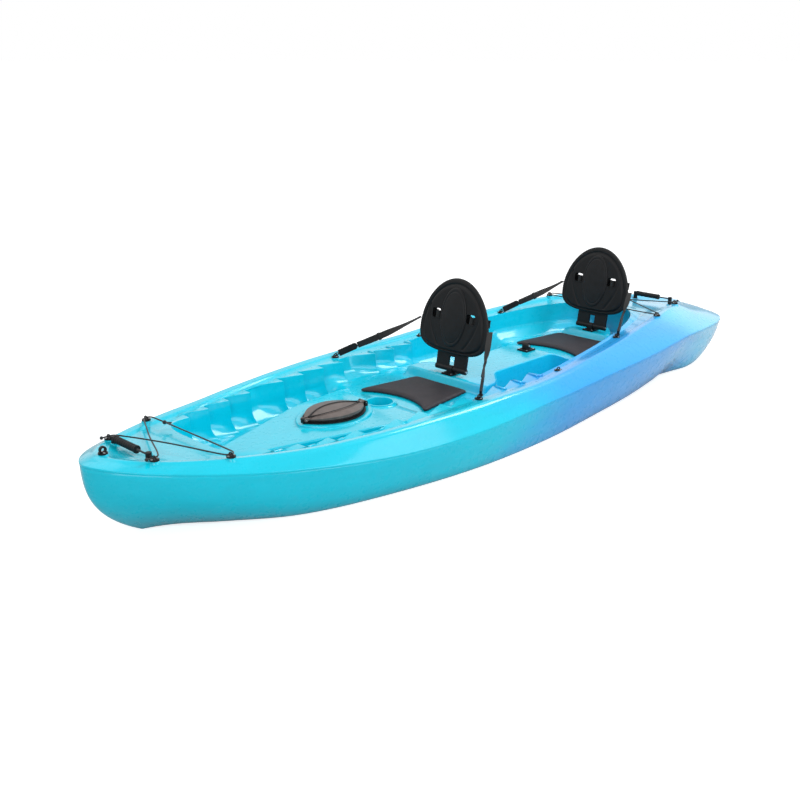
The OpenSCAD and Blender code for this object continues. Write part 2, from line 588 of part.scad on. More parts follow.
module hatch_lid() {
    crown_r = (hatch_length * hatch_length / 4 + hatch_crown * hatch_crown) / (2 * hatch_crown);
    rib = 4;
    color([0.2, 0.19, 0.19]) difference() {
        union() {
            translate([hatch_x, 0, lid_z]) intersection() {
                leaf(hatch_length, hatch_width, lid_edge + hatch_crown + 1);
                translate([0, 0, lid_edge + hatch_crown - crown_r]) sphere(r = crown_r, $fn = 160);
            }
            translate([hatch_x, 0, lid_z]) intersection() {
                leaf_band(hatch_length - 24, hatch_width * 0.5, rib, lid_edge + hatch_crown + 3);
                translate([0, 0, lid_edge + hatch_crown + 2 - crown_r]) sphere(r = crown_r, $fn = 160);
            }
            translate(lid_hinge) across(knuckle_w) cylinder(r = knuckle_r, h = knuckle_w);
            translate(lid_hinge + [0, -knuckle_w / 2, -1]) cube([22, knuckle_w, 6]);
            for (s = [-1, 1]) translate(latch_hinge + [0, s * 10, 0]) {
                across(5) cylinder(r = knuckle_r, h = 5);
                translate([-22, -2.5, -3]) cube([22, 5, 7]);
            }
        }
        translate([hatch_x, 0, lid_z - 1]) leaf(hatch_length - 40, hatch_width - 40, 7);
        translate(lid_hinge) across(2 * knuckle_w) cylinder(d = hatch_pin_d + 2 * running, h = 2 * knuckle_w);
        translate(latch_hinge) across(2 * knuckle_w) cylinder(d = hatch_pin_d, h = 2 * knuckle_w);
    }
}
module latch_pin() {
    color(steel) translate(latch_hinge) across(25) cylinder(d = hatch_pin_d, h = 25);
}
module hatch_latch() {
    wide = 14;
    color(black) difference() {
        union() {
            translate(latch_hinge) across(wide) cylinder(r = knuckle_r - 1, h = wide);
            translate(latch_hinge + [0, -wide / 2, 0]) cube([9, wide, knuckle_r - 1]);
            translate(latch_hinge + [5, -wide / 2, -knuckle_r - gasket_h - 1])
                cube([4, wide, knuckle_r + gasket_h + 2]);
        }
        translate(latch_hinge) across(2 * wide) cylinder(d = hatch_pin_d + 2 * running, h = 2 * wide);
    }
}

// Hinge bases, and the backrests that fold on them.
base_l = 56;
base_w = 50;
base_h = 6;
lug_half = 12;
hinge_rise = 20;
hinge_r = 13;
leg_r = 11;
leg_thick = 10;
leg_half = 73;
leg_h = 130;
slot_h = 46;
slot_half = 8;
back_lean = 10;
back_low = 58;
back_mid = 195;
hinge_z = mount_height + hinge_rise;
hinge_xs = [front_hinge_x, mid_hinge_x, rear_hinge_x];
base_screws = [for (x = [-1, 1]) for (y = [-1, 1]) [x * 21, y * 19, base_h]];
module hinge_base(x) {
    color(black) translate([x, 0, mount_height]) difference() {
        union() {
            translate([-base_l / 2, -base_w / 2, 0]) cube([base_l, base_w, base_h]);
            translate([-hinge_r, -lug_half, 0]) cube([2 * hinge_r, 2 * lug_half, hinge_rise]);
            translate([0, 0, hinge_rise]) across(2 * lug_half) cylinder(r = hinge_r, h = 2 * lug_half);
        }
        translate([0, 0, hinge_rise]) across(base_w) cylinder(d = hinge_pin_d, h = base_w);
        at_each(base_screws) translate([0, 0, -base_h - 1])
            cylinder(d = screw_d + 2 * screw_gap, h = base_h + 2);
    }
}
module hinge_pin(x, w) {
    color(steel) translate([x, 0, hinge_z]) across(w) cylinder(d = hinge_pin_d, h = w);
}
module leaned(x) {
    translate([x, 0, hinge_z]) rotate([0, -back_lean, 0]) children();
}
module back_legs(x) {
    barrel = leg_half - lug_half - 2;
    color(black) leaned(x) difference() {
        union() {
            for (s = [-1, 1]) {
                translate([0, s * (leg_half + lug_half + 2) / 2, 0]) across(barrel)
                    cylinder(r = leg_r, h = barrel);
                translate([-leg_thick / 2, s > 0 ? lug_half + 2 : -leg_half, 0])
                    cube([leg_thick, barrel, leg_h]);
            }
            translate([-leg_thick / 2, -leg_half, slot_h]) cube([leg_thick, 2 * leg_half, leg_h - slot_h]);
        }
        across(3 * leg_half) cylinder(d = hinge_pin_d + 2 * running, h = 3 * leg_half);
        at_each(bolt_places) rotate([0, 90, 0]) translate([0, 0, -leg_thick])
            cylinder(d = screw_d + 2 * screw_gap, h = 2 * leg_thick);
    }
}
bolt_places = [for (y = [-1, 1]) for (z = [90, 115]) [0, y * 45, z]];
module back_bolts(x) {
    color(steel) leaned(x) at_each(bolt_places) rotate([0, 90, 0]) {
        translate([0, 0, -leg_thick / 2]) cylinder(d = screw_d, h = leg_thick + 9);
        translate([0, 0, -leg_thick / 2 - 2.5]) cylinder(d = 9, h = 2.5);
    }
}
// Egg-shaped rings of a backrest, [share of the outline, depth]; the front is crowned round a groove.
egg_sides = 40;
egg_drawn = 0.06;
egg_square = 0.62;
egg_under = 0.325 * back_height;
egg_over = back_height - egg_under;
function egg_y(a) = sin(a) >= 0 ? cos(a) * (1 - egg_drawn * sin(a))
    : sign(cos(a)) * pow(abs(cos(a)), egg_square);
function egg_z(a) = sin(a) >= 0 ? egg_over * sin(a) : -egg_under * pow(abs(sin(a)), egg_square);
function egg(share, depth) = [for (i = [0:egg_sides - 1])
    let (a = 360 * i / egg_sides)
    [depth, share * back_width / 2 * egg_y(a), back_low + egg_under + share * egg_z(a)]];
back_face = leg_thick / 2;
egg_rings = [[0.3, 0], [0.92, 0], [0.985, 0.3 * back_rim], [1, 0.6 * back_rim], [0.97, 0.9 * back_rim],
    [0.93, back_rim], [0.89, 0.9 * back_rim], [0.85, back_rim + 3], [0.8, back_rim + 4], [0.3, back_rim + 4]];
slot_y = 84;
slot_z = 200;
slot_wide = 40;
slot_high = 36;
slot_r = 8;
module egg_body() {
    rings = len(egg_rings);
    n = egg_sides;
    points = [for (r = egg_rings) each egg(r[0], back_face + r[1])];
    walls = [for (k = [0:rings - 2]) for (i = [0:n - 1])
        let (a = k * n + i, b = k * n + (i + 1) % n, c = b + n, e = a + n)
        each [[a, c, b], [a, e, c]]];
    ends = [for (i = [1:n - 2]) each
        [[0, i, i + 1], [(rings - 1) * n, (rings - 1) * n + i + 1, (rings - 1) * n + i]]];
    polyhedron(points = points, faces = concat(walls, ends), convexity = 4);
}
module back_shell(x) {
    color(black) leaned(x) difference() {
        egg_body();
        for (s = [-1, 1]) translate([0, s * slot_y, slot_z]) rotate([0, 90, 0]) {
            translate([slot_r - slot_high / 2, -slot_wide / 2, 0])
                cube([slot_high - 2 * slot_r, slot_wide, 60]);
            translate([-slot_high / 2, slot_r - slot_wide / 2, 0])
                cube([slot_high, slot_wide - 2 * slot_r, 60]);
            for (i = [-1, 1]) for (k = [-1, 1])
                translate([i * (slot_high / 2 - slot_r), k * (slot_wide / 2 - slot_r), 0])
                    cylinder(r = slot_r, h = 60);
        }
        at_each(bolt_places) rotate([0, 90, 0]) cylinder(d = screw_d - 0.4, h = leg_thick / 2 + 9.5);
    }
}
oval_w = 122;
oval_h = 222;
module back_panel(x) {
    top = back_face + back_rim + 4;
    n = egg_sides;
    rings = [[1, clearance], [1, 2.5], [0.93, 4.5], [0.7, 6], [0.35, 7]];
    points = [for (r = rings) for (i = [0:n - 1])
        [top + r[1], r[0] * oval_w / 2 * cos(360 * i / n), back_mid + r[0] * oval_h / 2 * sin(360 * i / n)]];
    m = len(rings) - 1;
    walls = [for (k = [0:m - 1]) for (i = [0:n - 1])
        let (a = k * n + i, b = k * n + (i + 1) % n, c = b + n, e = a + n)
        each [[a, c, b], [a, e, c]]];
    ends = [for (i = [1:n - 2]) each [[0, i, i + 1], [m * n, m * n + i + 1, m * n + i]]];
    color([0.14, 0.14, 0.15]) leaned(x) polyhedron(points = points, faces = concat(walls, ends));
}

// Seat pads: a foam mat with two lobes at its front.
pad_gap = 52;
pad_crown = 3;
module pad_outline(inset) {
    back_half = pad_width / 2 - 40;
    offset(r = 9 - inset) offset(delta = -9) difference() {
        polygon([[0, -back_half], [0, back_half], [pad_length, pad_width / 2], [pad_length, -pad_width / 2]]);
        translate([pad_length + 205, 0]) circle(r = 260);
    }
}
module seat_pad(x) {
    color([0.22, 0.21, 0.23]) translate([x + pad_gap, 0, seat_height + clearance]) {
        linear_extrude(pad_thick - pad_crown) pad_outline(0);
        translate([0, 0, pad_thick - pad_crown]) linear_extrude(pad_crown * 0.6) pad_outline(4);
        translate([0, 0, pad_thick - pad_crown * 0.4]) linear_extrude(pad_crown * 0.4) pad_outline(12);
    }
}

// Straps from the backrests to snap rings on the gunwale anchors.
ring_r = 8;
ring_d = 4;
hook_l = 78;
hook_w = 24;
hook_t = 8;
ring_rise = eye_base_h + 3.5;
strap_end_z = hinge_z + 170;
function strap_top(x, side) = [x - 15, side * (back_width / 2 + 4), strap_end_z];
function ring_tilt(a, s) = let (e = unit([s[0] - a[0], 0, s[2] - a[2]])) e;
function ring_mid(a, s) = a + [0, 0, ring_rise] + ring_r * ring_tilt(a, s);
module toward(p, q) {
    d = q - p;
    translate(p) rotate([0, acos(d[2] / norm(d)), atan2(d[1], d[0])]) children();
}
module strap_hook(a, s) {
    mid = ring_mid(a, s);
    e = ring_tilt(a, s);
    translate(mid) rotate([0, atan2(e[2], -e[0]), 0]) rotate_extrude() translate([ring_r, 0])
        circle(d = ring_d);
    toward(mid, s) {
        translate([-hook_w / 2, -hook_t / 2, ring_r + 1]) cube([hook_w, hook_t, hook_l - hook_w / 2]);
        translate([0, 0, ring_r + 1 + hook_l - hook_w / 2]) across(hook_t) cylinder(d = hook_w, h = hook_t);
    }
}
module strap_hooks(x, places) {
    color(black) for (k = [0, 1]) strap_hook(places[k], strap_top(x, 2 * k - 1));
}
module strap(x, a, side) {
    s = strap_top(x, side);
    mid = ring_mid(a, s);
    start = ring_r + 1 + hook_l + clearance;
    color([0.13, 0.13, 0.14]) toward(mid, s)
        translate([-strap_width / 2, -strap_thick / 2, start])
            cube([strap_width, strap_thick, norm(s - mid) - start]);
}

// Carry ropes with a grip that slides along each.
post_r = 9;
post_top = 8;
bow_rope_rise = 12.6;
stern_rope_rise = 25;
grip_rest = -25;
module rope_posts(places, rise) {
    color(black) for (p = places) translate(p) difference() {
        cylinder(r = post_r, h = rise + post_top);
        translate([0, 0, rise]) across(3 * post_r) cylinder(d = rope_d, h = 3 * post_r);
    }
}
module carry_rope(place, rise) {
    w = rope_span + 2 * post_r;
    color([0.15, 0.15, 0.16]) translate([place[0], 0, place[2] + rise]) across(w) cylinder(d = rope_d, h = w);
}
grip_ribs = 9;
module carry_grip(place, rise) {
    flange = 6;
    groove = 1.5;
    pitch = (grip_length - 2 * flange) / grip_ribs;
    color(black) translate([place[0], grip_rest, place[2] + rise]) across(grip_length) difference() {
        union() {
            cylinder(d = grip_d - 2 * groove, h = grip_length);
            for (e = [0, grip_length - flange]) translate([0, 0, e]) cylinder(d = grip_d, h = flange);
            for (i = [0:grip_ribs - 1]) translate([0, 0, flange + (i + 0.2) * pitch])
                cylinder(d = grip_d - groove, h = 0.6 * pitch);
        }
        translate([0, 0, -1]) cylinder(d = rope_d + 2 * running, h = grip_length + 2);
    }
}

tow_thick = 8;
tow_screw = 8;
module bow_tow_eye() {
    eye_r = tow_hole_d / 2 + 5;
    color(black) translate(tow_seat) difference() {
        union() {
            cylinder(r = eye_base_r, h = eye_base_h);
            translate([0, 0, eye_base_h + eye_r - 3]) across(tow_thick) cylinder(r = eye_r, h = tow_thick);
        }
        translate([0, 0, eye_base_h + eye_r - 3]) across(30) cylinder(d = tow_hole_d, h = 30);
        for (s = [-1, 1]) translate([0, s * tow_screw, -1])
            cylinder(d = screw_d + 2 * screw_gap, h = eye_base_h + 2);
    }
}
module tow_eye_screws() {
    color(steel) for (s = [-1, 1]) translate(tow_seat + [0, s * tow_screw, eye_base_h]) screw(eye_base_h);
}
module knots(route, tied) {
    color([0.12, 0.12, 0.13]) {
        for (p = [route[0], route[len(route) - 1]]) translate(p) sphere(d = 2.2 * cord_d);
        if (tied) translate(mix(route[12], route[11], 0.14)) {
            sphere(d = 2.6 * cord_d);
            for (a = [-150, -115]) rotate([100, 0, a]) cylinder(d = cord_d - 1, h = 22);
        }
    }
}
module hinge_base_screws() {
    color(steel) for (x = hinge_xs) translate([x, 0, mount_height]) at_each(base_screws) screw(base_h);
}
module strap_anchors() {
    color(black) at_each(anchors) rotate([0, 0, 90]) pad_eye();
}
module strap_anchor_screws() {
    color(steel) at_each(anchors) rotate([0, 0, 90]) eye_screws();
}

hull_shell();
bow_deck();
gunwales();
cockpit_walls();
cockpit_floor();
console_deck();
stern_deck();
cup_well();
hatch_rim();
hatch_gasket();
hatch_hinge_pin();
hatch_lid();
latch_pin();
hatch_latch();
hinge_base(front_hinge_x);  // front_hinge_base
hinge_base(mid_hinge_x);  // mid_hinge_base
hinge_base(rear_hinge_x);  // rear_hinge_base
hinge_pin(front_hinge_x, 2 * leg_half + 8);  // front_hinge_pin
hinge_pin(mid_hinge_x, 2 * lug_half + 8);  // mid_hinge_pin
hinge_pin(rear_hinge_x, 2 * leg_half + 8);  // rear_hinge_pin
hinge_base_screws();
back_legs(front_hinge_x);  // front_back_legs
back_shell(front_hinge_x);  // front_back_shell
back_panel(front_hinge_x);  // front_back_panel
back_bolts(front_hinge_x);  // front_back_bolts
back_legs(rear_hinge_x);  // rear_back_legs
back_shell(rear_hinge_x);  // rear_back_shell
back_panel(rear_hinge_x);  // rear_back_panel
back_bolts(rear_hinge_x);  // rear_back_bolts
seat_pad(front_hinge_x);  // front_seat_pad
seat_pad(rear_hinge_x);  // rear_seat_pad
strap_anchors();
strap_anchor_screws();
strap_hooks(front_hinge_x, front_anchors);  // front_strap_hooks
strap_hooks(rear_hinge_x, rear_anchors);  // rear_strap_hooks
strap(front_hinge_x, front_anchors[0], -1);  // front_strap_starboard
strap(front_hinge_x, front_anchors[1], 1);  // front_strap_port
strap(rear_hinge_x, rear_anchors[0], -1);  // rear_strap_starboard
strap(rear_hinge_x, rear_anchors[1], 1);  // rear_strap_port
color(black) at_each(bow_eyes) pad_eye();  // bow_pad_eyes
color(black) at_each(stern_eyes) pad_eye();  // stern_pad_eyes
color(steel) at_each(concat(bow_eyes, stern_eyes))  // pad_eye_screws
    eye_screws();
color([0.12, 0.12, 0.13]) tube(bow_route, cord_d, 8);  // bow_deck_cord
color([0.12, 0.12, 0.13]) tube(stern_route, cord_d, 8);  // stern_deck_cord
knots(bow_route, true);  // bow_cord_knots
knots(stern_route, false);  // stern_cord_knots
rope_posts(bow_posts, bow_rope_rise);  // bow_rope_posts
rope_posts(stern_posts, stern_rope_rise);  // stern_rope_posts
carry_rope(bow_posts[0], bow_rope_rise);  // bow_carry_rope
carry_rope(stern_posts[0], stern_rope_rise);  // stern_carry_rope
carry_grip(bow_posts[0], bow_rope_rise);  // bow_carry_grip
carry_grip(stern_posts[0], stern_rope_rise);  // stern_carry_grip
bow_tow_eye();
tow_eye_screws();
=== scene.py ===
"""Dresses the tandem kayak: moulded shells, backrests, pads, webbing, cords, finishes and a studio stage."""

import json
import math

import bmesh
import bpy
import numpy as np
from bpy.props import FloatProperty, FloatVectorProperty, IntProperty, PointerProperty
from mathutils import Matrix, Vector
from mathutils.bvhtree import BVHTree
from mathutils.geometry import delaunay_2d_cdt


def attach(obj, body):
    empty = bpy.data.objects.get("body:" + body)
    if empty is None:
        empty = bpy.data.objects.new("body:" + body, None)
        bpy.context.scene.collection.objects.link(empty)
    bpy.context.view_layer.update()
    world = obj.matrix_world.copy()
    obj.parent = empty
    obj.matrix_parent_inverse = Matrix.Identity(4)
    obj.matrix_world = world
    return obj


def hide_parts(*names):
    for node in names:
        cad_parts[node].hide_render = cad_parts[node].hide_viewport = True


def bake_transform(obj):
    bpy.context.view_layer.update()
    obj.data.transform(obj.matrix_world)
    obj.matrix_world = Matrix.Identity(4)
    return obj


bl_info = {
    "name": "Tandem kayak",
    "version": (1, 0, 0),
    "blender": (4, 5, 0),
    "location": "3D View > Sidebar > Kayak",
    "description": "Builds the visible pieces of a tandem sit-on-top kayak over its solid model",
    "category": "Object",
}

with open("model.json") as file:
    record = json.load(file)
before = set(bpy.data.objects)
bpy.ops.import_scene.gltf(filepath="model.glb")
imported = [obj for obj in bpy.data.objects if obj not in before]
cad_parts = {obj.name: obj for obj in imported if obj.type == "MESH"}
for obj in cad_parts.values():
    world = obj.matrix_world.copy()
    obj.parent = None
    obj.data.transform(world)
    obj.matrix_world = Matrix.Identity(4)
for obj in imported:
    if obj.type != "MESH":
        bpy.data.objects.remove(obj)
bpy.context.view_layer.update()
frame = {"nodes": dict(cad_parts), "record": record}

# Hull lines in millimetres, as in the solid model: +X to the bow, +Y to port, +Z up.
HALF = 1600.0
HALF_BEAM = 457.0
CREST_HEIGHT = 232.0
PARTING_HEIGHT = 172.0
CREST_INSET = 47.0
COCKPIT_FORE = HALF - 365.0
COCKPIT_AFT = -HALF + 610.0
COCKPIT_HALF = 340.0
TOOTH_DEPTH = 45.0
TOOTH_PITCH = 100.0
FLOOR_INSET = 30.0
MIDDLE_INSET = 24.0
WIDE_X = 0.14 * HALF
CREST_FORE = HALF - 45.0
CREST_AFT = -HALF + 100.0
FRONT_X, MID_X, REAR_X = 80.0, -380.0, -840.0
SEAT_HEIGHT, FOOTWELL_HEIGHT, MOUNT_HEIGHT = 145.0, 95.0, 180.0
HATCH_X, HATCH_LENGTH, HATCH_WIDTH = 672.0, 255.0, 160.0
HATCH_SEAT = SEAT_HEIGHT + 22.0
CUP_X, CUP_R, CUP_DEPTH = 457.0, 46.0, 62.0
CUP_SEAT = SEAT_HEIGHT + 13.0
CUP_TOP = CUP_SEAT + 3.0
PARTING_RISE = [[-1, -14], [-0.9, -2], [-0.8, 10], [-0.6, 34], [-0.4, 24], [-0.19, 14], [0, 0],
                [0.4, -22], [0.69, 8], [0.9, 50], [1, 73]]
CREST_RISE = [[-1, -46], [-0.875, -8], [-0.75, 36], [-0.54, 45], [-0.23, 22], [0, 0], [0.2, 0],
              [0.6, -9], [0.7, -4], [0.9, 18], [1, 41]]
BOTTOM_PLAN = [[-1, 0.36], [-0.92, 0.56], [-0.82, 0.63], [-0.73, 0.64], [-0.66, 0.59], [-0.58, 0.55],
               [-0.5, 0.62], [-0.38, 0.71], [-0.24, 0.78], [0, 0.87], [0.25, 0.86], [0.5, 0.72],
               [0.66, 0.55], [0.77, 0.29], [0.84, 0.1], [0.9, 0.02], [1, 0.01]]
TEETH = [start - i * TOOTH_PITCH
         for start, count in ((COCKPIT_FORE - 115, 4), (COCKPIT_FORE - 575, 4), (COCKPIT_FORE - 1045, 3))
         for i in range(count)]

# Exponents of the round ends of each plan: two for the fore end, two for the aft end.
SEAM_ENDS = (1.92, 0.6, 2.9, 0.35)
CREST_ENDS = (1.95, 0.62, 1.9, 0.6)
COCKPIT_ENDS = (2.2, 0.25, 2, 0.4)
BLUNT_ENDS = (12, 0.4, 12, 0.4)

BOTTOM_FORE, BOTTOM_AFT = HALF - 165.0, -HALF + 120.0
FLOOR_FORE, FLOOR_AFT = COCKPIT_FORE - FLOOR_INSET, COCKPIT_AFT + FLOOR_INSET / 2
STERN_FROM, STERN_RUN, STERN_OUT, STERN_WIDER = 1180.0, 420.0, 40.0, 0.05
STERN_RISE, STERN_DIP = 14.0, 8.0
CUP_LAND_R, CUP_SIDES, HATCH_LAND = 62.0, 64, 62.0
CORD_R, CORD_RISE = 2.3, 9.0
RIDGE_R, RIDGE_SHARE, RIDGE_END = 3.4, 0.42, 14.0
DECK_NODES = ("bow_deck", "gunwales", "cockpit_walls", "cockpit_floor", "console_deck", "stern_deck")
FLAT_NODES = ("bow_pad_eyes", "stern_pad_eyes", "strap_anchors", "bow_rope_posts", "stern_rope_posts",
              "bow_tow_eye")

# Backrests in millimetres from the hinge; a slot's place sideways and upright, width, height and corner.
HINGE_Z = 200.0
LEAN = math.radians(10)
BACK_LOW, BACK_UNDER, BACK_OVER, BACK_HALF = 58.0, 92.3, 191.7, 168.0
BACK_FACE, BACK_RIM, BACK_MID = 5.0, 18.0, 195.0
BACK_FRONT = BACK_FACE + BACK_RIM + 4
PAD_HALF_WIDE, PAD_HALF_HIGH = 61.0, 111.0
SLOT = (84.0, 200.0, 40.0, 36.0, 8.0)

# Doubled points merge within this gap, in metres, and edges that turn further than this are sharp.
MERGE_GAP, SHARP_TURN = 0.00002, math.radians(50)

# Straps in metres.
STRAP_HALF, STRAP_TAPER, STRAP_THICK = 0.0125, 0.0028, 0.001


def length(name, about, default, least, most):
    return FloatProperty(name=name, description=about, default=default, min=least, max=most, unit="LENGTH")


def tint(name, about, *rgb):
    return FloatVectorProperty(name=name, description=about, subtype="COLOR", size=4, default=(*rgb, 1),
                               min=0, max=1)


class KayakSizes(bpy.types.PropertyGroup):
    """Sizes of the visible detail."""

    round_cuts: IntProperty(name="Rounding cuts", description="Points across each rounded moulded edge",
                            default=5, min=2, max=9)
    station_gap: length("Station gap", "Distance between cross-sections of the shells", 0.009, 0.004, 0.03)
    wall: length("Wall", "Thickness of the moulded shells", 0.004, 0.002, 0.006)
    seam: length("Seam", "How far the lip of the deck stands over the hull", 0.0012, 0.0, 0.003)
    pad_swell: length("Pad swell", "Most that a seat pad's foam swells", 0.003, 0.0, 0.01)


class KayakColours(bpy.types.PropertyGroup):
    """Colours of the finishes."""

    turquoise: tint("Turquoise", "Plastic at the bow", 0.0, 0.56, 0.72)
    sky: tint("Sky", "Plastic at the stern", 0.07, 0.49, 0.76)
    blue: tint("Blue", "Blended blue amidships", 0.02, 0.33, 0.74)
    black: tint("Black", "Fittings and backrests", 0.006, 0.006, 0.0066)
    foam: tint("Foam", "Seat pads", 0.026, 0.022, 0.026)
    lid: tint("Lid", "Hatch lid", 0.11, 0.088, 0.08)


def sizes():
    return bpy.context.scene.kayak_sizes


def colours():
    return bpy.context.scene.kayak_colours


def curve(table, x):
    """Smooth line through rows of place and value."""
    at, value = np.array(table, float).T
    slope = np.empty_like(value)
    slope[1:-1] = (value[2:] - value[:-2]) / (at[2:] - at[:-2])
    slope[0] = (value[1] - value[0]) / (at[1] - at[0])
    slope[-1] = (value[-1] - value[-2]) / (at[-1] - at[-2])
    i = np.clip(np.searchsorted(at, x, side="left") - 1, 0, len(at) - 2)
    h = at[i + 1] - at[i]
    s = np.clip((x - at[i]) / h, 0, 1)
    s2, s3 = s * s, s * s * s
    return ((2 * s3 - 3 * s2 + 1) * value[i] + (s3 - 2 * s2 + s) * h * slope[i]
            + (3 * s2 - 2 * s3) * value[i + 1] + (s3 - s2) * h * slope[i + 1])


def plan(x, mid, fore, aft, width, ends):
    """Half width of a plan with round ends."""
    ahead = np.clip((x - mid) / (fore - mid), 0, 1)
    behind = np.clip((mid - x) / (mid - aft), 0, 1)
    return width * np.where(x >= mid, np.maximum(0, 1 - ahead ** ends[0]) ** ends[1],
                            np.maximum(0, 1 - behind ** ends[2]) ** ends[3])


def eased(x, rows, reach):
    """A line of straight pieces with its corners eased."""
    at, value = np.array(rows, float).T
    return np.mean([np.interp(x + d, at, value) for d in np.linspace(-reach, reach, 9)], axis=0)


def mix(a, b, t):
    return a + (b - a) * t


def parting_z(x):
    return PARTING_HEIGHT + curve(PARTING_RISE, x / HALF)


def crest_z(x):
    return CREST_HEIGHT + curve(CREST_RISE, x / HALF)


def tooth_share(x):
    """Share of the tooth depth: it grows from a root to the step aft of it."""
    share = np.zeros_like(x)
    order = sorted(TEETH)
    for tip, ahead in zip(order, order[1:] + [math.inf]):
        root = min(ahead, tip + TOOTH_PITCH)
        share = np.where((x > tip) & (x <= root), (root - x) / TOOTH_PITCH, share)
    return share


def soft_teeth(x, reach=1.3):
    return np.mean([tooth_share(x + d) for d in np.linspace(-reach, reach, 9)], axis=0)


def points(x, y, z):
    return np.stack(np.broadcast_arrays(x, y, z), -1).astype(float)


def parting_ring(u, grow, drop=0.0):
    fore, aft = HALF + grow, -HALF - grow
    x = fore - u * (fore - aft)
    return points(x, plan(x, WIDE_X, fore, aft, HALF_BEAM + grow, SEAM_ENDS), parting_z(x) - drop)


def crest_ring(u, grow, drop):
    fore, aft = CREST_FORE + grow, CREST_AFT - grow
    x = fore - u * (fore - aft)
    wide = plan(x, WIDE_X, fore, aft, HALF_BEAM - CREST_INSET + grow, CREST_ENDS)
    return points(x, wide, crest_z(x) - drop)


def rim_ring(u, bite):
    x = COCKPIT_FORE - u * (COCKPIT_FORE - COCKPIT_AFT)
    wide = plan(x, WIDE_X, COCKPIT_FORE, COCKPIT_AFT, COCKPIT_HALF, COCKPIT_ENDS)
    cut = bite * TOOTH_DEPTH * soft_teeth(x) * np.minimum(1, wide / 200)
    return points(x, np.maximum(0, wide - cut), crest_z(x) - 8)


def floor_width(x):
    return plan(x, WIDE_X, FLOOR_FORE, FLOOR_AFT, COCKPIT_HALF - TOOTH_DEPTH - 12, COCKPIT_ENDS)


def floor_z(x):
    low, seat = FOOTWELL_HEIGHT, SEAT_HEIGHT
    return eased(x, [[REAR_X + 330, seat], [REAR_X + 390, low], [FRONT_X - 140, low], [FRONT_X - 60, seat],
                     [FRONT_X + 330, seat], [FRONT_X + 390, low], [COCKPIT_FORE - 320, low],
                     [COCKPIT_FORE, low + 30]], 14)


def middle_z(x):
    seat, mount = SEAT_HEIGHT, MOUNT_HEIGHT
    return eased(x, [[REAR_X + 32, mount], [REAR_X + 48, seat], [REAR_X + 350, seat], [MID_X - 40, mount],
                     [FRONT_X + 32, mount], [FRONT_X + 48, seat], [FRONT_X + 330, seat], [CUP_X, seat + 8],
                     [HATCH_X, seat + 18], [COCKPIT_FORE - 120, seat + 8], [COCKPIT_FORE, seat]], 5)


def middle_width(x):
    return eased(x, [[REAR_X, 160], [REAR_X + 330, 200], [REAR_X + 430, 115], [FRONT_X - 130, 115],
                     [FRONT_X - 40, 200], [FRONT_X + 330, 240], [HATCH_X + 60, 180],
                     [COCKPIT_FORE - 295, 115], [COCKPIT_FORE - 115, 70], [COCKPIT_FORE, 20]], 20)


def floor_ring(u):
    x = FLOOR_FORE - u * (FLOOR_FORE - FLOOR_AFT)
    return points(x, floor_width(x), floor_z(x))


def middle_ring(u, inset, rise):
    fore, aft = FLOOR_FORE - inset, FLOOR_AFT + inset
    x = fore - u * (fore - aft)
    wide = np.minimum(middle_width(x), floor_width(x) - 25)
    ends = plan(x, WIDE_X, fore, aft, 1, BLUNT_ENDS)
    return points(x, np.maximum(0, wide - inset / 2) * ends, mix(floor_z(x), middle_z(x), rise))


def rounded(rings, radii, cuts):
    """Cross-sections through the rings with every corner rounded."""
    out = [rings[0]]
    for k in range(1, len(rings) - 1):
        before, corner, after = rings[k - 1], rings[k], rings[k + 1]
        back, on = before - corner, after - corner
        back_len = np.maximum(np.linalg.norm(back, axis=1), 1e-6)[:, None]
        on_len = np.maximum(np.linalg.norm(on, axis=1), 1e-6)[:, None]
        reach = np.minimum(radii[k], 0.46 * np.minimum(back_len, on_len))
        p, q = corner + back / back_len * reach, corner + on / on_len * reach
        for s in np.linspace(0, 1, cuts):
            out.append((1 - s) ** 2 * p + 2 * s * (1 - s) * corner + s * s * q)
    out.append(rings[-1])
    return np.stack(out, 1)


def station_shares(gap):
    """Shares of a ring's length from the bow to the stern, closer at the ends and at each tooth."""
    ends = 0.03 * np.linspace(0, 1, 15) ** 2.4
    length = COCKPIT_FORE - COCKPIT_AFT
    middle = np.linspace(0.03, 0.97, int(0.94 * length / gap))
    beside = (-6, -3, -1.6, -0.8, 0, 0.8, 1.6, 3, 6)
    steps = [(COCKPIT_FORE - (t + d)) / length for t in TEETH for d in beside]
    every = np.unique(np.concatenate([ends, 1 - ends, middle, steps]))
    keep = np.concatenate([[True], np.diff(every) > 1e-6])
    return every[keep]


def new_object(name, mesh):
    obj = bpy.data.objects.new(name, mesh)
    bpy.context.scene.collection.objects.link(obj)
    return obj


def mesh_object(name, verts, faces, smooth=True):
    mesh = bpy.data.meshes.new(name)
    mesh.from_pydata([tuple(v) for v in np.asarray(verts, float)], [], faces)
    mesh.validate()
    if smooth:
        mesh.shade_smooth()
    return new_object(name, mesh)


def coords(mesh):
    return np.array([v.co for v in mesh.vertices], float)


def grid_faces(rows, columns, offset=0, closed=False):
    faces = []
    for i in range(rows - 1):
        for j in range(columns if closed else columns - 1):
            a, b = offset + i * columns + j, offset + i * columns + (j + 1) % columns
            faces.append((a, b, b + columns, a + columns))
    return faces


def skin(rings, capped=False):
    """Vertices and faces of closed rings joined one to the next, with flat ends if asked."""
    rings = np.asarray(rings, float)
    n, sides = rings.shape[:2]
    faces = grid_faces(n, sides, closed=True)
    if capped:
        faces += [tuple(range(sides)), tuple(range((n - 1) * sides, n * sides))]
    return rings.reshape(-1, 3), faces


def circle(count):
    """Angles once round."""
    return np.linspace(0, 2 * math.pi, count, endpoint=False)


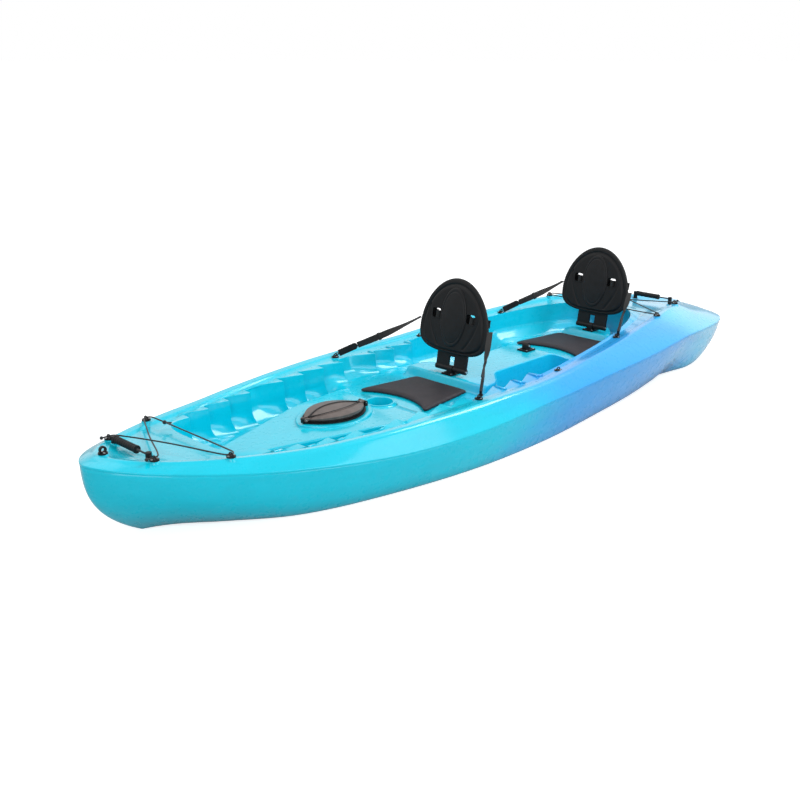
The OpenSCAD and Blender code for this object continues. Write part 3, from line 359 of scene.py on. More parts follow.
def mirrored_sheet(grid):
    """Vertices and faces of a half sheet and its mirror image across the boat's middle."""
    m, k = grid.shape[:2]
    port = grid.reshape(-1, 3)
    return np.concatenate([port, port * [1, -1, 1]]), grid_faces(m, k) + grid_faces(m, k, m * k)


def inside(poly, pts):
    """Which points lie in a closed outline."""
    x, y = pts[:, 0][:, None], pts[:, 1][:, None]
    a, b = poly, np.roll(poly, -1, axis=0)
    cross = (a[:, 1] > y) != (b[:, 1] > y)
    with np.errstate(divide="ignore", invalid="ignore"):
        at = (b[:, 0] - a[:, 0]) * (y - a[:, 1]) / (b[:, 1] - a[:, 1]) + a[:, 0]
    return (np.sum(cross & (x < at), axis=1) % 2) == 1


def leaf_outline(length, width, count=48):
    """Leaf of two arcs round the hatch's middle."""
    r = (length ** 2 + width ** 2) / (4 * width)
    half = math.asin(length / 2 / r)
    a = np.linspace(-half, half, count)
    top = np.stack([r * np.sin(a), r * np.cos(a) - r + width / 2], 1)
    return np.concatenate([top[::-1], (top * [1, -1])[1:-1]])


def filled_top(outline, heights, holes, height, gap=11.0):
    """Triangles over an outline with holes; inner points take their height from a function of x."""
    pts, edges = [], []
    for ring in [outline] + holes:
        first = len(pts)
        pts += [tuple(p) for p in ring]
        edges += [(first + i, first + (i + 1) % len(ring)) for i in range(len(ring))]
    xs = np.arange(outline[:, 0].min() + 4, outline[:, 0].max(), gap / 2)
    ys = np.arange(-236, 237, gap)
    inner = np.array([(x, y) for x in xs for y in ys])
    keep = inside(outline, inner)
    for dx, dy in ((7, 0), (-7, 0), (0, 7), (0, -7)):
        keep &= inside(outline, inner + [dx, dy])
        for hole in holes:
            keep &= ~inside(hole, inner + [dx / 2, dy / 2])
    pts += [tuple(p) for p in inner[keep]]
    verts, _, faces, origin, _, _ = delaunay_2d_cdt([Vector(p) for p in pts], edges, [], 0, 1e-5)
    flat = np.array([tuple(v) for v in verts])
    z = height(flat[:, 0])
    for k, from_ in enumerate(origin):
        if from_ and from_[0] < len(heights):
            z[k] = heights[from_[0]]
    centre = np.array([flat[list(f)].mean(0) for f in faces])
    good = inside(outline, centre)
    for hole in holes:
        good &= ~inside(hole, centre)
    return np.column_stack([flat, z]), [tuple(f) for f, g in zip(faces, good) if g]


def lathe(profile, at, sides):
    """Rings turned round an upright axis, each row of the profile [radius, height]."""
    a = circle(sides)
    return skin([points(at[0] + r * np.cos(a), at[1] + r * np.sin(a), at[2] + h) for r, h in profile])


def joined(parts):
    """One list of vertices and faces out of several."""
    verts, faces, start = [], [], 0
    for v, f in parts:
        verts.append(np.asarray(v, float))
        faces += [tuple(i + start for i in face) for face in f]
        start += len(v)
    return np.concatenate(verts), faces


def tidy(obj, up=None):
    """Merges doubled points and turns the faces one way; up is a direction most of them look."""
    bm = bmesh.new()
    bm.from_mesh(obj.data)
    bmesh.ops.remove_doubles(bm, verts=bm.verts, dist=MERGE_GAP)
    bmesh.ops.dissolve_degenerate(bm, edges=bm.edges, dist=1e-6)
    bmesh.ops.recalc_face_normals(bm, faces=bm.faces)
    if up is not None:
        turn = sum(f.normal.dot(Vector(up)) * f.calc_area() for f in bm.faces)
        if turn < 0:
            bmesh.ops.reverse_faces(bm, faces=bm.faces)
    bm.to_mesh(obj.data)
    bm.free()
    obj.data.shade_smooth()
    return obj


def made(name, part, up=None):
    """A tidied piece out of vertices and faces in millimetres."""
    return tidy(mesh_object(name, np.asarray(part[0]) / 1000, part[1]), up=up)


def sharpened(obj):
    """Marks the edges that turn most as sharp."""
    bm = bmesh.new()
    bm.from_mesh(obj.data)
    for e in bm.edges:
        if len(e.link_faces) == 2 and e.calc_face_angle(0) > SHARP_TURN:
            e.smooth = False
    bm.to_mesh(obj.data)
    bm.free()
    return obj


def applied(obj):
    """Turns an object's modifiers into its mesh."""
    dg = bpy.context.evaluated_depsgraph_get()
    dg.update()
    mesh = bpy.data.meshes.new_from_object(obj.evaluated_get(dg))
    obj.modifiers.clear()
    obj.data = mesh
    return obj


def tube_mesh(route, radius, sides):
    """A round cord along a list of points."""
    route = np.asarray(route, float)
    along = np.gradient(route, axis=0)
    along /= np.linalg.norm(along, axis=1)[:, None]
    side = np.cross(along, [0, 0, 1.0])
    side /= np.maximum(np.linalg.norm(side, axis=1), 1e-9)[:, None]
    up = np.cross(side, along)
    a = circle(sides)[None, :, None]
    return skin(route[:, None] + radius * (np.cos(a) * side[:, None] + np.sin(a) * up[:, None]), True)


def smooth_route(route, count):
    """Points on a smooth curve through a list of points, a count of them for each span."""
    p = np.asarray(route, float)
    p = np.concatenate([[2 * p[0] - p[1]], p, [2 * p[-1] - p[-2]]])
    out = []
    for i in range(1, len(p) - 2):
        four = p[i - 1:i + 3]
        knot = np.concatenate([[0], np.cumsum(np.linalg.norm(np.diff(four, axis=0), axis=1) ** 0.5)])
        for t in np.linspace(knot[1], knot[2], count, endpoint=False):
            row = four
            for spans in (((0, 1), (1, 2), (2, 3)), ((0, 2), (1, 3)), ((1, 2),)):
                row = [mix(row[k], row[k + 1], (t - knot[a]) / (knot[b] - knot[a]))
                       for k, (a, b) in enumerate(spans)]
            out.append(row[0])
    out.append(p[-2])
    return np.array(out)


# Finishes.


def grey(v):
    return (v, v, v, 1)


def shade(colour, k):
    return tuple(min(1.0, c * k) for c in colour[:3]) + (1,)


class Nodes:
    """The shading nodes of a material or a world, with short ways to add and join them."""

    def __init__(self, owner):
        owner.use_nodes = True
        self.nodes, self.links = owner.node_tree.nodes, owner.node_tree.links
        self.shader = self.nodes.get("Principled BSDF")

    def feed(self, node, inputs):
        """Gives a node's inputs fixed values or other nodes' outputs."""
        for key, value in inputs.items():
            if isinstance(value, bpy.types.NodeSocket):
                self.links.new(value, node.inputs[key])
            else:
                node.inputs[key].default_value = value

    def add(self, kind, *first, **named):
        """A new node: its first inputs in order, then its other inputs and its settings by name."""
        node = self.nodes.new("ShaderNode" + kind)
        for key in [k for k in named if k not in node.inputs]:
            setattr(node, key, named.pop(key))
        self.feed(node, {**dict(enumerate(first)), **named})
        return node

    def place(self, scale=(1, 1, 1)):
        """Coordinates on the object, drawn out along its axes."""
        at = self.add("TexCoord").outputs["Object"]
        return self.add("Mapping", Vector=at, Scale=scale).outputs["Vector"]

    def noise(self, scale=(1, 1, 1), **values):
        return self.add("TexNoise", Vector=self.place(scale), **values).outputs["Fac"]

    def cells(self, scale):
        return self.add("TexVoronoi", Vector=self.place(), Scale=scale).outputs["Distance"]

    def math(self, operation, *values):
        return self.add("Math", *values, operation=operation).outputs["Value"]

    def mixed(self, share, first, second, **settings):
        return self.add("MixRGB", share, first, second, **settings).outputs["Color"]

    def spread(self, source, span, values=(0.0, 1.0)):
        """A value that runs smoothly between two ends while another runs over a span."""
        return self.add("MapRange", source, *span, *values, interpolation_type="SMOOTHSTEP").outputs["Result"]

    def ramp(self, source, low, high, ends=(0.3, 0.7)):
        """Two colours spread between two ends of a value."""
        node = self.add("ValToRGB", source)
        for element, at, colour in zip(node.color_ramp.elements, ends, (low, high)):
            element.position = at
            element.color = colour
        return node.outputs["Color"]

    def bump(self, height, strength, distance):
        node = self.add("Bump", Height=height, Strength=strength, Distance=distance)
        self.feed(self.shader, {"Normal": node.outputs["Normal"]})


def made_once(make):
    """Makes a named finish the first time that it is asked for."""

    def find(name, *values):
        material = bpy.data.materials.get(name)
        if material is None:
            material = bpy.data.materials.new(name)
            make(Nodes(material), *values)
        return material

    return find


@made_once
def moulded_plastic(m):
    """Glossy plastic whose turquoise, blue and sky colours run into each other along the boat."""
    c = colours()
    at = m.add("SeparateXYZ", m.add("TexCoord").outputs["Object"]).outputs
    cloud = m.noise((0.8, 1.6, 3.2), Scale=1.5, Detail=3.0, Roughness=0.5, Distortion=0.7)
    drift = m.math("MULTIPLY_ADD", cloud, 0.8, at["X"])
    near = m.spread(at["Y"], (0.02, 0.36), (0.1, 1.0))
    ahead, behind = m.spread(drift, (0.95, 0.3)), m.spread(drift, (-0.95, -0.5))
    stern = m.spread(drift, (-0.4, -0.85))
    share = m.math("MULTIPLY", m.math("MULTIPLY", ahead, behind), near)
    colour = m.mixed(stern, m.mixed(share, c.turquoise, c.blue), c.sky)
    wisps = m.noise((0.5, 1.5, 3.0), Scale=7.0, Detail=4.0, Roughness=0.55, Distortion=1.2)
    worn = m.noise(Scale=38.0, Detail=5.0, Roughness=0.6)
    m.feed(m.shader, {
        "Base Color": m.mixed(1.0, colour, m.ramp(wisps, grey(0.93), grey(1.0)), blend_type="MULTIPLY"),
        "Roughness": m.ramp(worn, grey(0.24), grey(0.34)),
        "Specular IOR Level": 0.15,
        "Coat Weight": 1.0,
        "Coat IOR": 1.32,
        "Coat Roughness": 0.11,
    })
    m.bump(m.noise(Scale=55.0, Detail=1.0), 0.025, 0.0006)


@made_once
def grained_black(m, colour, rough=(0.42, 0.58), grain=900.0, depth=0.00025):
    """Black plastic with a fine moulded grain and slightly uneven gloss."""
    uneven = m.noise(Scale=45.0, Detail=5.0, Roughness=0.6)
    m.feed(m.shader, {
        "Base Color": m.ramp(uneven, shade(colour, 0.75), shade(colour, 1.35)),
        "Roughness": m.ramp(uneven, grey(rough[0]), grey(rough[1])),
        "Specular IOR Level": 0.22,
    })
    m.bump(m.cells(grain), 0.35, depth)


@made_once
def foam_skin(m):
    """Closed-cell foam: tiny cells, dull, with paler scuffs."""
    c = colours()
    scuff = m.noise(Scale=16.0, Detail=6.0, Roughness=0.65)
    m.feed(m.shader, {
        "Base Color": m.ramp(scuff, shade(c.foam, 0.8), shade(c.foam, 1.3), (0.3, 0.72)),
        "Roughness": 0.62,
        "Specular IOR Level": 0.3,
    })
    m.bump(m.cells(520.0), 0.4, 0.0004)


@made_once
def woven(m, colour, scale):
    """Flat webbing or braid: ribs of yarn that cross each other."""
    ribs = [m.add("TexWave", Vector=m.place((way, 1, 1)), Scale=scale, Distortion=0.4,
                  bands_direction="DIAGONAL") for way in (1, -1)]
    yarn = m.math("MULTIPLY", *(rib.outputs["Fac"] for rib in ribs))
    m.feed(m.shader, {
        "Base Color": m.ramp(yarn, shade(colour, 0.55), shade(colour, 1.6), (0.0, 1.0)),
        "Roughness": 0.78,
        "Sheen Weight": 0.2,
    })
    m.bump(yarn, 0.5, 0.0005)


@made_once
def brushed_metal(m):
    """Stainless steel with fine lines along it."""
    lines = m.noise((0.1, 1, 1), Scale=300.0, Detail=3.0)
    m.feed(m.shader, {
        "Base Color": m.ramp(lines, grey(0.5), grey(0.68)),
        "Roughness": m.ramp(lines, grey(0.22), grey(0.38)),
        "Metallic": 1.0,
    })


def paint(obj, material):
    obj.data.materials.clear()
    obj.data.materials.append(material)
    return obj


def plastic():
    return moulded_plastic("moulded plastic")


def blacks():
    return grained_black("black plastic", colours().black)


def webbing_cloth():
    return woven("webbing", colours().black, 160)


def braid():
    return woven("braided cord", colours().black, 330)


def shell_of(obj):
    """Gives a sheet the wall of a moulded shell, inward."""
    solid = obj.modifiers.new("wall", "SOLIDIFY")
    solid.thickness = sizes().wall
    solid.offset = -1
    return applied(obj)


class KAYAK_OT_hull(bpy.types.Operator):
    """Moulded hull below the seam"""

    bl_idname = "kayak.hull"
    bl_label = "Hull"

    def execute(self, context):
        u = station_shares(sizes().station_gap * 2000)
        levels = np.concatenate([np.linspace(1, 0.2, 17), 0.2 * np.linspace(0.92, 0, 18) ** 2])
        x = BOTTOM_FORE - u * (BOTTOM_FORE - BOTTOM_AFT)
        ends = plan(x, 0, BOTTOM_FORE, BOTTOM_AFT, 1, BLUNT_ENDS)
        low = np.maximum(0, HALF_BEAM * curve(BOTTOM_PLAN, x / HALF)) * ends
        top = parting_ring(u, 0)
        rings = []
        for h in levels:
            rings.append(fuller_stern(points(mix(x, top[:, 0], 1 - (1 - h) ** 2.8),
                                             mix(low, top[:, 1], h ** 0.5), mix(0, top[:, 2], h))))
        grid = np.stack(rings, 1)
        verts, faces = mirrored_sheet(grid)
        m, k = grid.shape[:2]
        keel = np.arange(m) * k + k - 1
        bottom = [(a, b, m * k + b, m * k + a) for a, b in zip(keel[:-1].tolist(), keel[1:].tolist())]
        hull = made("hull_moulding", (verts, faces + bottom), (0, 0, -1))
        shell_of(hull)
        paint(hull, plastic())
        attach(hull, "hull")
        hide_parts("hull_shell")
        return {"FINISHED"}


class KAYAK_OT_deck(bpy.types.Operator):
    """Moulded deck with its rails, stepped footwells, seats, hatch land and cup holder"""

    bl_idname = "kayak.deck"
    bl_label = "Deck"

    def execute(self, context):
        s = sizes()
        u = station_shares(s.station_gap * 1000)
        lip = s.seam * 1000
        low, top = parting_ring(u, 0), crest_ring(u, 12, 7)
        rail, rim = crest_ring(u, -28, 3), rim_ring(u, 0)
        sunk = np.zeros_like(low)
        sunk[:, 2] = np.minimum(7, np.linalg.norm((rail - rim)[:, :2], axis=1) / 14)
        stepped, floor = rim_ring(u, 1), floor_ring(u)
        foot = mix(stepped, floor, 0.18)
        foot[:, 2] = mix(stepped[:, 2], floor[:, 2], 0.66)
        lift = np.array([0, 0, 4.0])
        rings = [parting_ring(u, -4, 1), parting_ring(u, lip, 1), parting_ring(u, lip, -5),
                 mix(low, top, 0.5) + lift, top, crest_ring(u, 0, 0), rail, mix(rail, rim, 0.2) - sunk,
                 mix(rail, rim, 0.8) - sunk, stepped, foot, floor, middle_ring(u, 8, 0),
                 middle_ring(u, MIDDLE_INSET, 1), middle_ring(u, 46, 1)]
        radii = [0, 1, 2, 30, 16, 9, 7, 10, 8, 2.5, 14, 16, 18, 12, 0]
        grid = rounded([fuller_stern(r) for r in rings], radii, s.round_cuts)
        sides = mirrored_sheet(grid)
        last = grid[:, -1]
        use = last[last[:, 1] > 1.0]
        ring = np.concatenate([last[:1], use, last[-1:], (use * [1, -1, 1])[::-1]])
        a = circle(CUP_SIDES)
        hole = np.stack([CUP_X + CUP_LAND_R * np.cos(a), CUP_LAND_R * np.sin(a)], 1)
        mouth = leaf_outline(HATCH_LENGTH + HATCH_LAND, HATCH_WIDTH + HATCH_LAND) + [HATCH_X, 0]
        middle = filled_top(ring[:, :2], ring[:, 2], [hole, mouth], middle_z)
        deck = made("deck_moulding", joined([sides, middle, cup_land(), hatch_land()]), (0, 0, 1))
        shell_of(deck)
        cup = made("cup_moulding", lathe(cup_profile(), (CUP_X, 0, CUP_TOP), 72), (0, 0, 1))
        flats = made("deck_flats", joined([flat_lathe(p) for p in flat_places()]))
        for piece in (deck, cup, flats):
            paint(piece, plastic())
            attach(piece, "hull")
        for node in DECK_NODES:
            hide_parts(node)
        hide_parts("cup_well")
        return {"FINISHED"}


def fuller_stern(ring):
    """Rounds the stern out, most of all at the seam."""
    x, y, z = ring.T
    s = np.clip((-x - STERN_FROM) / STERN_RUN, 0, 1)
    s = s * s * (3 - 2 * s)
    seam = parting_z(x)
    over = np.clip((z - seam) / np.maximum(crest_z(x) - seam, 1), 0, 1)
    under = np.clip(z / seam, 0, 1)
    full = s * np.where(z > seam, 1 - 0.75 * over ** 1.6, under ** 0.75)
    rise = STERN_RISE * s * over - STERN_DIP * s * (1 - over) * under
    return points(x - STERN_OUT * full, y * (1 + STERN_WIDER * full), z + rise)


def cup_land():
    """The low round land that carries the cup well."""
    n = CUP_SIDES
    profile = [(CUP_LAND_R, 0), (59, -1), (56.5, -0.3), (55, 0), (50.3, 0), (50.3, -10)]
    verts, faces = lathe(profile, (CUP_X, 0, CUP_SEAT), n)
    verts[:n, 2] = middle_z(verts[:n, 0])
    verts[n:2 * n, 2] = 0.5 * (middle_z(verts[n:2 * n, 0]) + CUP_SEAT - 1)
    return verts, faces


def cup_profile():
    """The cup well: a round lip, a rounded mouth, a plain bore and a dished bottom."""
    d = CUP_DEPTH
    return [(50, -20), (50, -3.2), (54, -3), (54, -1.6), (53.2, -0.5), (51.6, 0), (48, 0), (46.6, -0.6),
            (CUP_R, -2.2), (CUP_R, 8 - d), (45, 3.5 - d), (42, 1 - d), (36, -d), (0.01, -d)]


def hatch_land():
    """The raised leaf-shaped land that carries the hatch's rim."""
    rows = [(HATCH_LAND, None), (60, -5), (59, -1.5), (57, -0.3), (54, 0), (-20, 0), (-20, -22)]
    rings = []
    for outset, drop in rows:
        flat = leaf_outline(HATCH_LENGTH + outset, HATCH_WIDTH + outset) + [HATCH_X, 0]
        z = middle_z(flat[:, 0]) if drop is None else np.full(len(flat), HATCH_SEAT + drop)
        if drop == -5:
            z = np.maximum(z, middle_z(flat[:, 0]) + 1)
        rings.append(np.column_stack([flat, z]))
    return skin(rings)


def flat_places():
    """Tops of the moulded flats under the fittings, read from the fittings' own solids."""
    places = []
    for name in FLAT_NODES:
        for island in islands(frame["nodes"][name].data):
            lo, hi = island.min(0) * 1000, island.max(0) * 1000
            places.append(((lo[0] + hi[0]) / 2, (lo[1] + hi[1]) / 2, lo[2]))
    return places


def islands(mesh):
    """Vertices of each separate solid of a mesh."""
    co = coords(mesh)
    place = np.unique(np.round(co, 6), axis=0, return_inverse=True)[1].ravel()
    ends = place[np.array([tuple(e.vertices) for e in mesh.edges])].T
    group, before = np.arange(len(co)), None
    while before is None or (group != before).any():
        before = group.copy()
        for a, b in (ends, ends[::-1]):
            np.minimum.at(group, a, group[b])
    return [co[group[place] == g] for g in np.unique(group[place])]


def flat_lathe(place):
    return lathe([(19, -12), (16, -5), (14.2, -2.2), (13.4, -0.8), (12.4, 0), (0.01, 0)], place, 40)


class KAYAK_OT_backrests(bpy.types.Operator):
    """Backrest shells with their contours and slots, and the oval pads on them"""

    bl_idname = "kayak.backrests"
    bl_label = "Backrests"

    def execute(self, context):
        for end, x in (("front", FRONT_X), ("rear", REAR_X)):
            shell = made(f"{end}_backrest_shell", leaned(egg_shell(), x))
            for side in (-1, 1):
                slot = made("slot_cutter", leaned(slot_solid(side), x))
                cut = shell.modifiers.new("slot", "BOOLEAN")
                cut.operation = "DIFFERENCE"
                cut.solver = "EXACT"
                cut.object = slot
                applied(shell)
                bpy.data.objects.remove(slot)
            both = joined([slot_collar(-1), slot_collar(1)])
            collars = made(f"{end}_slot_collars", leaned(both, x))
            band = made(f"{end}_back_band", leaned(back_band(), x))
            pad = made(f"{end}_backrest_pad", leaned(oval_pad(), x))
            sharpened(shell)
            sharpened(band)
            foam = grained_black("backrest pad", shade(colours().black, 1.25), (0.38, 0.5), 1400, 0.00015)
            for piece, finish, slot in (
                    (shell, blacks(), "black_plastic"), (collars, blacks(), "black_plastic"),
                    (band, webbing_cloth(), "webbing"), (pad, foam, "back_foam")):
                paint(piece, finish)
                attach(piece, f"{end}_backrest")
            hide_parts(f"{end}_back_shell")
            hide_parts(f"{end}_back_panel")
        return {"FINISHED"}


def leaned(part, x):
    """Puts a piece drawn upright at the hinge into a backrest's leaning place."""
    v = np.asarray(part[0], float)
    c, s = math.cos(LEAN), math.sin(LEAN)
    return points(x + v[:, 0] * c - v[:, 2] * s, v[:, 1], HINGE_Z + v[:, 0] * s + v[:, 2] * c), part[1]


def even_loop(y, z, count):
    """Evenly spaced points on a closed outline."""
    p = np.stack([np.append(y, y[0]), np.append(z, z[0])], 1)
    run = np.concatenate([[0], np.cumsum(np.linalg.norm(np.diff(p, axis=0), axis=1))])
    at = np.linspace(0, run[-1], count, endpoint=False)
    return np.interp(at, run, p[:, 0]), np.interp(at, run, p[:, 1])


def egg_outline(count):
    """Outline of a backrest: a drawn-in round top over a squarer foot, from its widest line."""
    a = circle(4000)
    c, s = np.cos(a), np.sin(a)
    y = np.where(s >= 0, c * (1 - 0.06 * s), np.sign(c) * np.abs(c) ** 0.62)
    z = np.where(s >= 0, BACK_OVER * s, -BACK_UNDER * np.abs(s) ** 0.62)
    return even_loop(BACK_HALF * y, z, count)


def loft(rows, outline, mid):
    """Closed body from rows of [share of the outline, depth]."""
    y, z = outline
    return skin([points(d, s * y, mid + s * z) for s, d in rows], True)


def eased_rows(rows, radius=5.0, cuts=5):
    """Rounds the corners of a loft's rows."""
    flat = [np.array([[r[0] * 150, r[1], 0.0]]) for r in rows]
    line = rounded(flat, [radius] * len(rows), cuts)[0]
    return [(p[0] / 150, p[1]) for p in line]


def groove_depth(y, z):
    """Depth of the pair of contour grooves that run from beside the slots down to the foot."""
    line = smooth_route([(96, 292), (114, 262), (121, 231), (117, 190), (102, 145), (83, 111), (64, 84)], 8)
    p = np.stack([np.abs(y), z], 1)
    gap = np.min(np.linalg.norm(p[:, None] - line[None], axis=2), axis=1)
    return 3.4 * np.exp(-(gap / 4.2) ** 2)


def egg_shell():
    """A backrest's shell: a rolled rim, a ring groove inside it and a raised face with contour grooves."""
    f, r, top = BACK_FACE, BACK_RIM, BACK_FRONT
    back = [(0.02, f), (0.9, f), (0.975, f + 0.25 * r), (1.0, f + 0.6 * r), (0.978, f + 0.92 * r),
            (0.94, f + r), (0.905, f + r), (0.89, f + 0.86 * r), (0.872, f + 0.86 * r), (0.85, f + r + 2.2),
            (0.81, top), (0.79, top)]
    rows = eased_rows(back, 4.0) + [(t, top) for t in np.linspace(0.775, 0.02, 52)]
    verts, faces = loft(rows, egg_outline(200), BACK_LOW + BACK_UNDER)
    front = verts[:, 0] > f + r + 2
    verts[front, 0] -= groove_depth(verts[front, 1], verts[front, 2])
    return verts, faces


def oval_pad():
    """The oval pad on a backrest's face, with a groove inside its edge."""
    profile = [(0.02, 0.3), (1.0, 0.3), (1.0, 1.6), (0.965, 3.4), (0.9, 3.8), (0.885, 3.1), (0.86, 3.1),
               (0.84, 4.4), (0.5, 6.2), (0.02, 7)]
    rows = eased_rows([(share, BACK_FRONT + up) for share, up in profile], 3.5)
    a = circle(120)
    return loft(rows, (PAD_HALF_WIDE * np.cos(a), PAD_HALF_HIGH * np.sin(a)), BACK_MID)


def slot_outline():
    """A slot's rounded rectangle, sideways and upright, about its middle."""
    _, _, wide, high, r = SLOT
    corner = np.linspace(0, math.pi / 2, 9)
    y, z = [], []
    for k, (sy, sz) in enumerate(((1, 1), (-1, 1), (-1, -1), (1, -1))):
        y += list(sy * (wide / 2 - r) + r * np.cos(corner + k * math.pi / 2))
        z += list(sz * (high / 2 - r) + r * np.sin(corner + k * math.pi / 2))
    return np.array(y), np.array(z)


def slot_solid(side):
    """A slot's rounded rectangle right through a backrest."""
    y, z = slot_outline()
    return skin([points(d, SLOT[0] * side + y, SLOT[1] + z) for d in (-3, 60)], True)


def slot_collar(side):
    """The rolled edge round a slot on the front face."""
    y, z = slot_outline()
    rows = [(1.0, -3), (1.0, 0.6), (1.035, 1.5), (1.1, 1.5), (1.15, 0.6), (1.16, -1)]
    return skin([points(BACK_FRONT + d, SLOT[0] * side + k * y, SLOT[1] + k * z) for k, d in rows])


def back_band():
    """Webbing behind a backrest that fills the lower part of both slots and is turned through them."""
    low, high, rear, front = SLOT[1] - 19, SLOT[1] + 10, BACK_FACE - 2.6, BACK_FACE + 17
    inner, outer = SLOT[0] - 14, SLOT[0] + 14
    half = [(rear, inner - 2), (front, inner + 6), (front, outer - 8), (rear, outer), (rear, outer + 60)]
    x, y = smooth_route([(a, -b) for a, b in half[::-1]] + half, 6).T
    corners = ((-1, low), (1, low), (1, high), (-1, high))
    return skin(np.stack([points(x + dx, y, z) for dx, z in corners], 1), True)


class KAYAK_OT_pads(bpy.types.Operator):
    """Foam seat pads, swelled by a cloth simulation"""

    bl_idname = "kayak.pads"
    bl_label = "Seat pads"

    def execute(self, context):
        for end in ("front", "rear"):
            source = frame["nodes"][f"{end}_seat_pad"]
            pad = new_object(f"{end}_foam_pad", source.data.copy())
            remesh = pad.modifiers.new("even", "REMESH")
            remesh.mode = "VOXEL"
            remesh.voxel_size = 0.005
            applied(pad)
            rest = coords(pad.data)
            swell(pad)
            step = coords(pad.data) - rest
            size = np.linalg.norm(step, axis=1)[:, None]
            step *= np.minimum(1, sizes().pad_swell / np.maximum(size, 1e-9))
            lowest = rest[:, 2].min()
            ground = np.clip((rest[:, 2] - lowest) / 0.004, 0, 1)[:, None]
            moved = rest + step * ground
            moved[:, 2] = np.maximum(moved[:, 2], lowest)
            pad.data.vertices.foreach_set("co", moved.astype(np.float32).ravel())
            pad.data.shade_smooth()
            smooth = pad.modifiers.new("smooth", "SMOOTH")
            smooth.iterations = 6
            smooth.factor = 0.5
            fine = pad.modifiers.new("fine", "SUBSURF")
            fine.levels = fine.render_levels = 1
            applied(pad)
            paint(pad, foam_skin("foam skin"))
            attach(pad, "hull")
            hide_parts(f"{end}_seat_pad")
        return {"FINISHED"}


def swell(pad):
    """Lets the foam's skin puff a little under pressure."""
    cloth = pad.modifiers.new("swell", "CLOTH")
    cloth.settings.use_pressure = True
    cloth.settings.uniform_pressure_force = 3.0
    cloth.settings.quality = 4
    cloth.settings.effector_weights.gravity = 0.0
    scene = bpy.context.scene
    for f in range(1, 13):
        scene.frame_set(f)
    applied(pad)
    scene.frame_set(1)


class KAYAK_OT_straps(bpy.types.Operator):
    """Webbing from the gunwale hooks to the backrests"""

    bl_idname = "kayak.straps"
    bl_label = "Straps"

    def execute(self, context):
        for end in ("front", "rear"):
            for side in ("port", "starboard"):
                node = f"{end}_strap_{side}"
                a, b = strap_ends(frame["nodes"][node].data)
                strap = mesh_object(f"{end}_webbing_{side}", *webbing(a, b, 1 if side == "port" else -1))
                tidy(strap)
                sharpened(strap)
                paint(strap, webbing_cloth())
                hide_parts(node)
                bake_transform(strap)
        return {"FINISHED"}


def strap_ends(mesh):
    """Middle of a straight strap's lower and upper end."""
    co = np.unique(np.round(coords(mesh), 6), axis=0)
    centre = co.mean(0)
    _, _, axes = np.linalg.svd(co - centre)
    t = (co - centre) @ axes[0]
    low, high = co[t < 0].mean(0), co[t > 0].mean(0)
    if low[2] > high[2]:
        low, high = high, low
    return low, high


def webbing(a, b, side, rows=36):
    """A flat band that sags a little: its face looks inboard at the hook and up at the backrest."""
    t = np.linspace(0, 1, rows)
    line = a + (b - a) * t[:, None]
    length = np.linalg.norm(b - a)
    line[:, 2] -= 0.02 * length * 4 * t * (1 - t)
    along = (b - a) / length
    turn = 0.5 * math.pi * t * t * (3 - 2 * t)
    face = np.cos(turn)[:, None] * np.array([0, -side, 0]) + np.sin(turn)[:, None] * np.array([0, 0, 1.0])
    face -= (face @ along)[:, None] * along
    face /= np.linalg.norm(face, axis=1)[:, None]
    wide = np.cross(face, along) * (STRAP_HALF - STRAP_TAPER * np.clip((t - 0.5) / 0.4, 0, 1))[:, None]
    parts = []
    for last, shift, share in ((rows, 0.0, 1.0), (rows // 3, 0.0026, 0.96)):
        mid = line[:last] + face[:last] * shift
        w, n = wide[:last] * share, face[:last] * STRAP_THICK
        parts.append(skin(np.stack([mid - w - n, mid + w - n, mid + w + n, mid - w + n], 1), True))
    k = int(0.36 * rows)
    parts.append(keeper(line[k] + face[k] * 0.0012, along, wide[k] * 1.16, face[k] * 0.0042, 0.007))
    return joined(parts)


def keeper(mid, along, wide, thick, half):
    """A small moulded slide on a band, with its edges cut off."""
    corners = [(-1, -0.6), (-0.8, -1), (0.8, -1), (1, -0.6), (1, 0.6), (0.8, 1), (-0.8, 1), (-1, 0.6)]
    rings = [[mid + along * half * at + wide * u * grow + thick * v * grow for u, v in corners]
             for at, grow in ((-1.0, 0.82), (-0.7, 1.0), (0.7, 1.0), (1.0, 0.82))]
    return skin(rings, True)


class KAYAK_OT_cords(bpy.types.Operator):
    """Shock cords laced through the pad eyes"""

    bl_idname = "kayak.cords"
    bl_label = "Shock cords"

    def execute(self, context):
        for end, sign in (("bow", 1), ("stern", -1)):
            eyes = [np.append((i.min(0) + i.max(0))[:2] / 2, i.min(0)[2]) * 1000
                    for i in islands(frame["nodes"][f"{end}_pad_eyes"].data)]
            eyes.sort(key=lambda p: (-sign * round(p[0]), p[1]))
            route = smooth_route(lacing(eyes, sign), 7)
            cord = made(f"{end}_shock_cord", tube_mesh(route, CORD_R, 14))
            paint(cord, braid())
            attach(cord, "hull")
            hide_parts(f"{end}_deck_cord")
            route = route / 1000
        return {"FINISHED"}


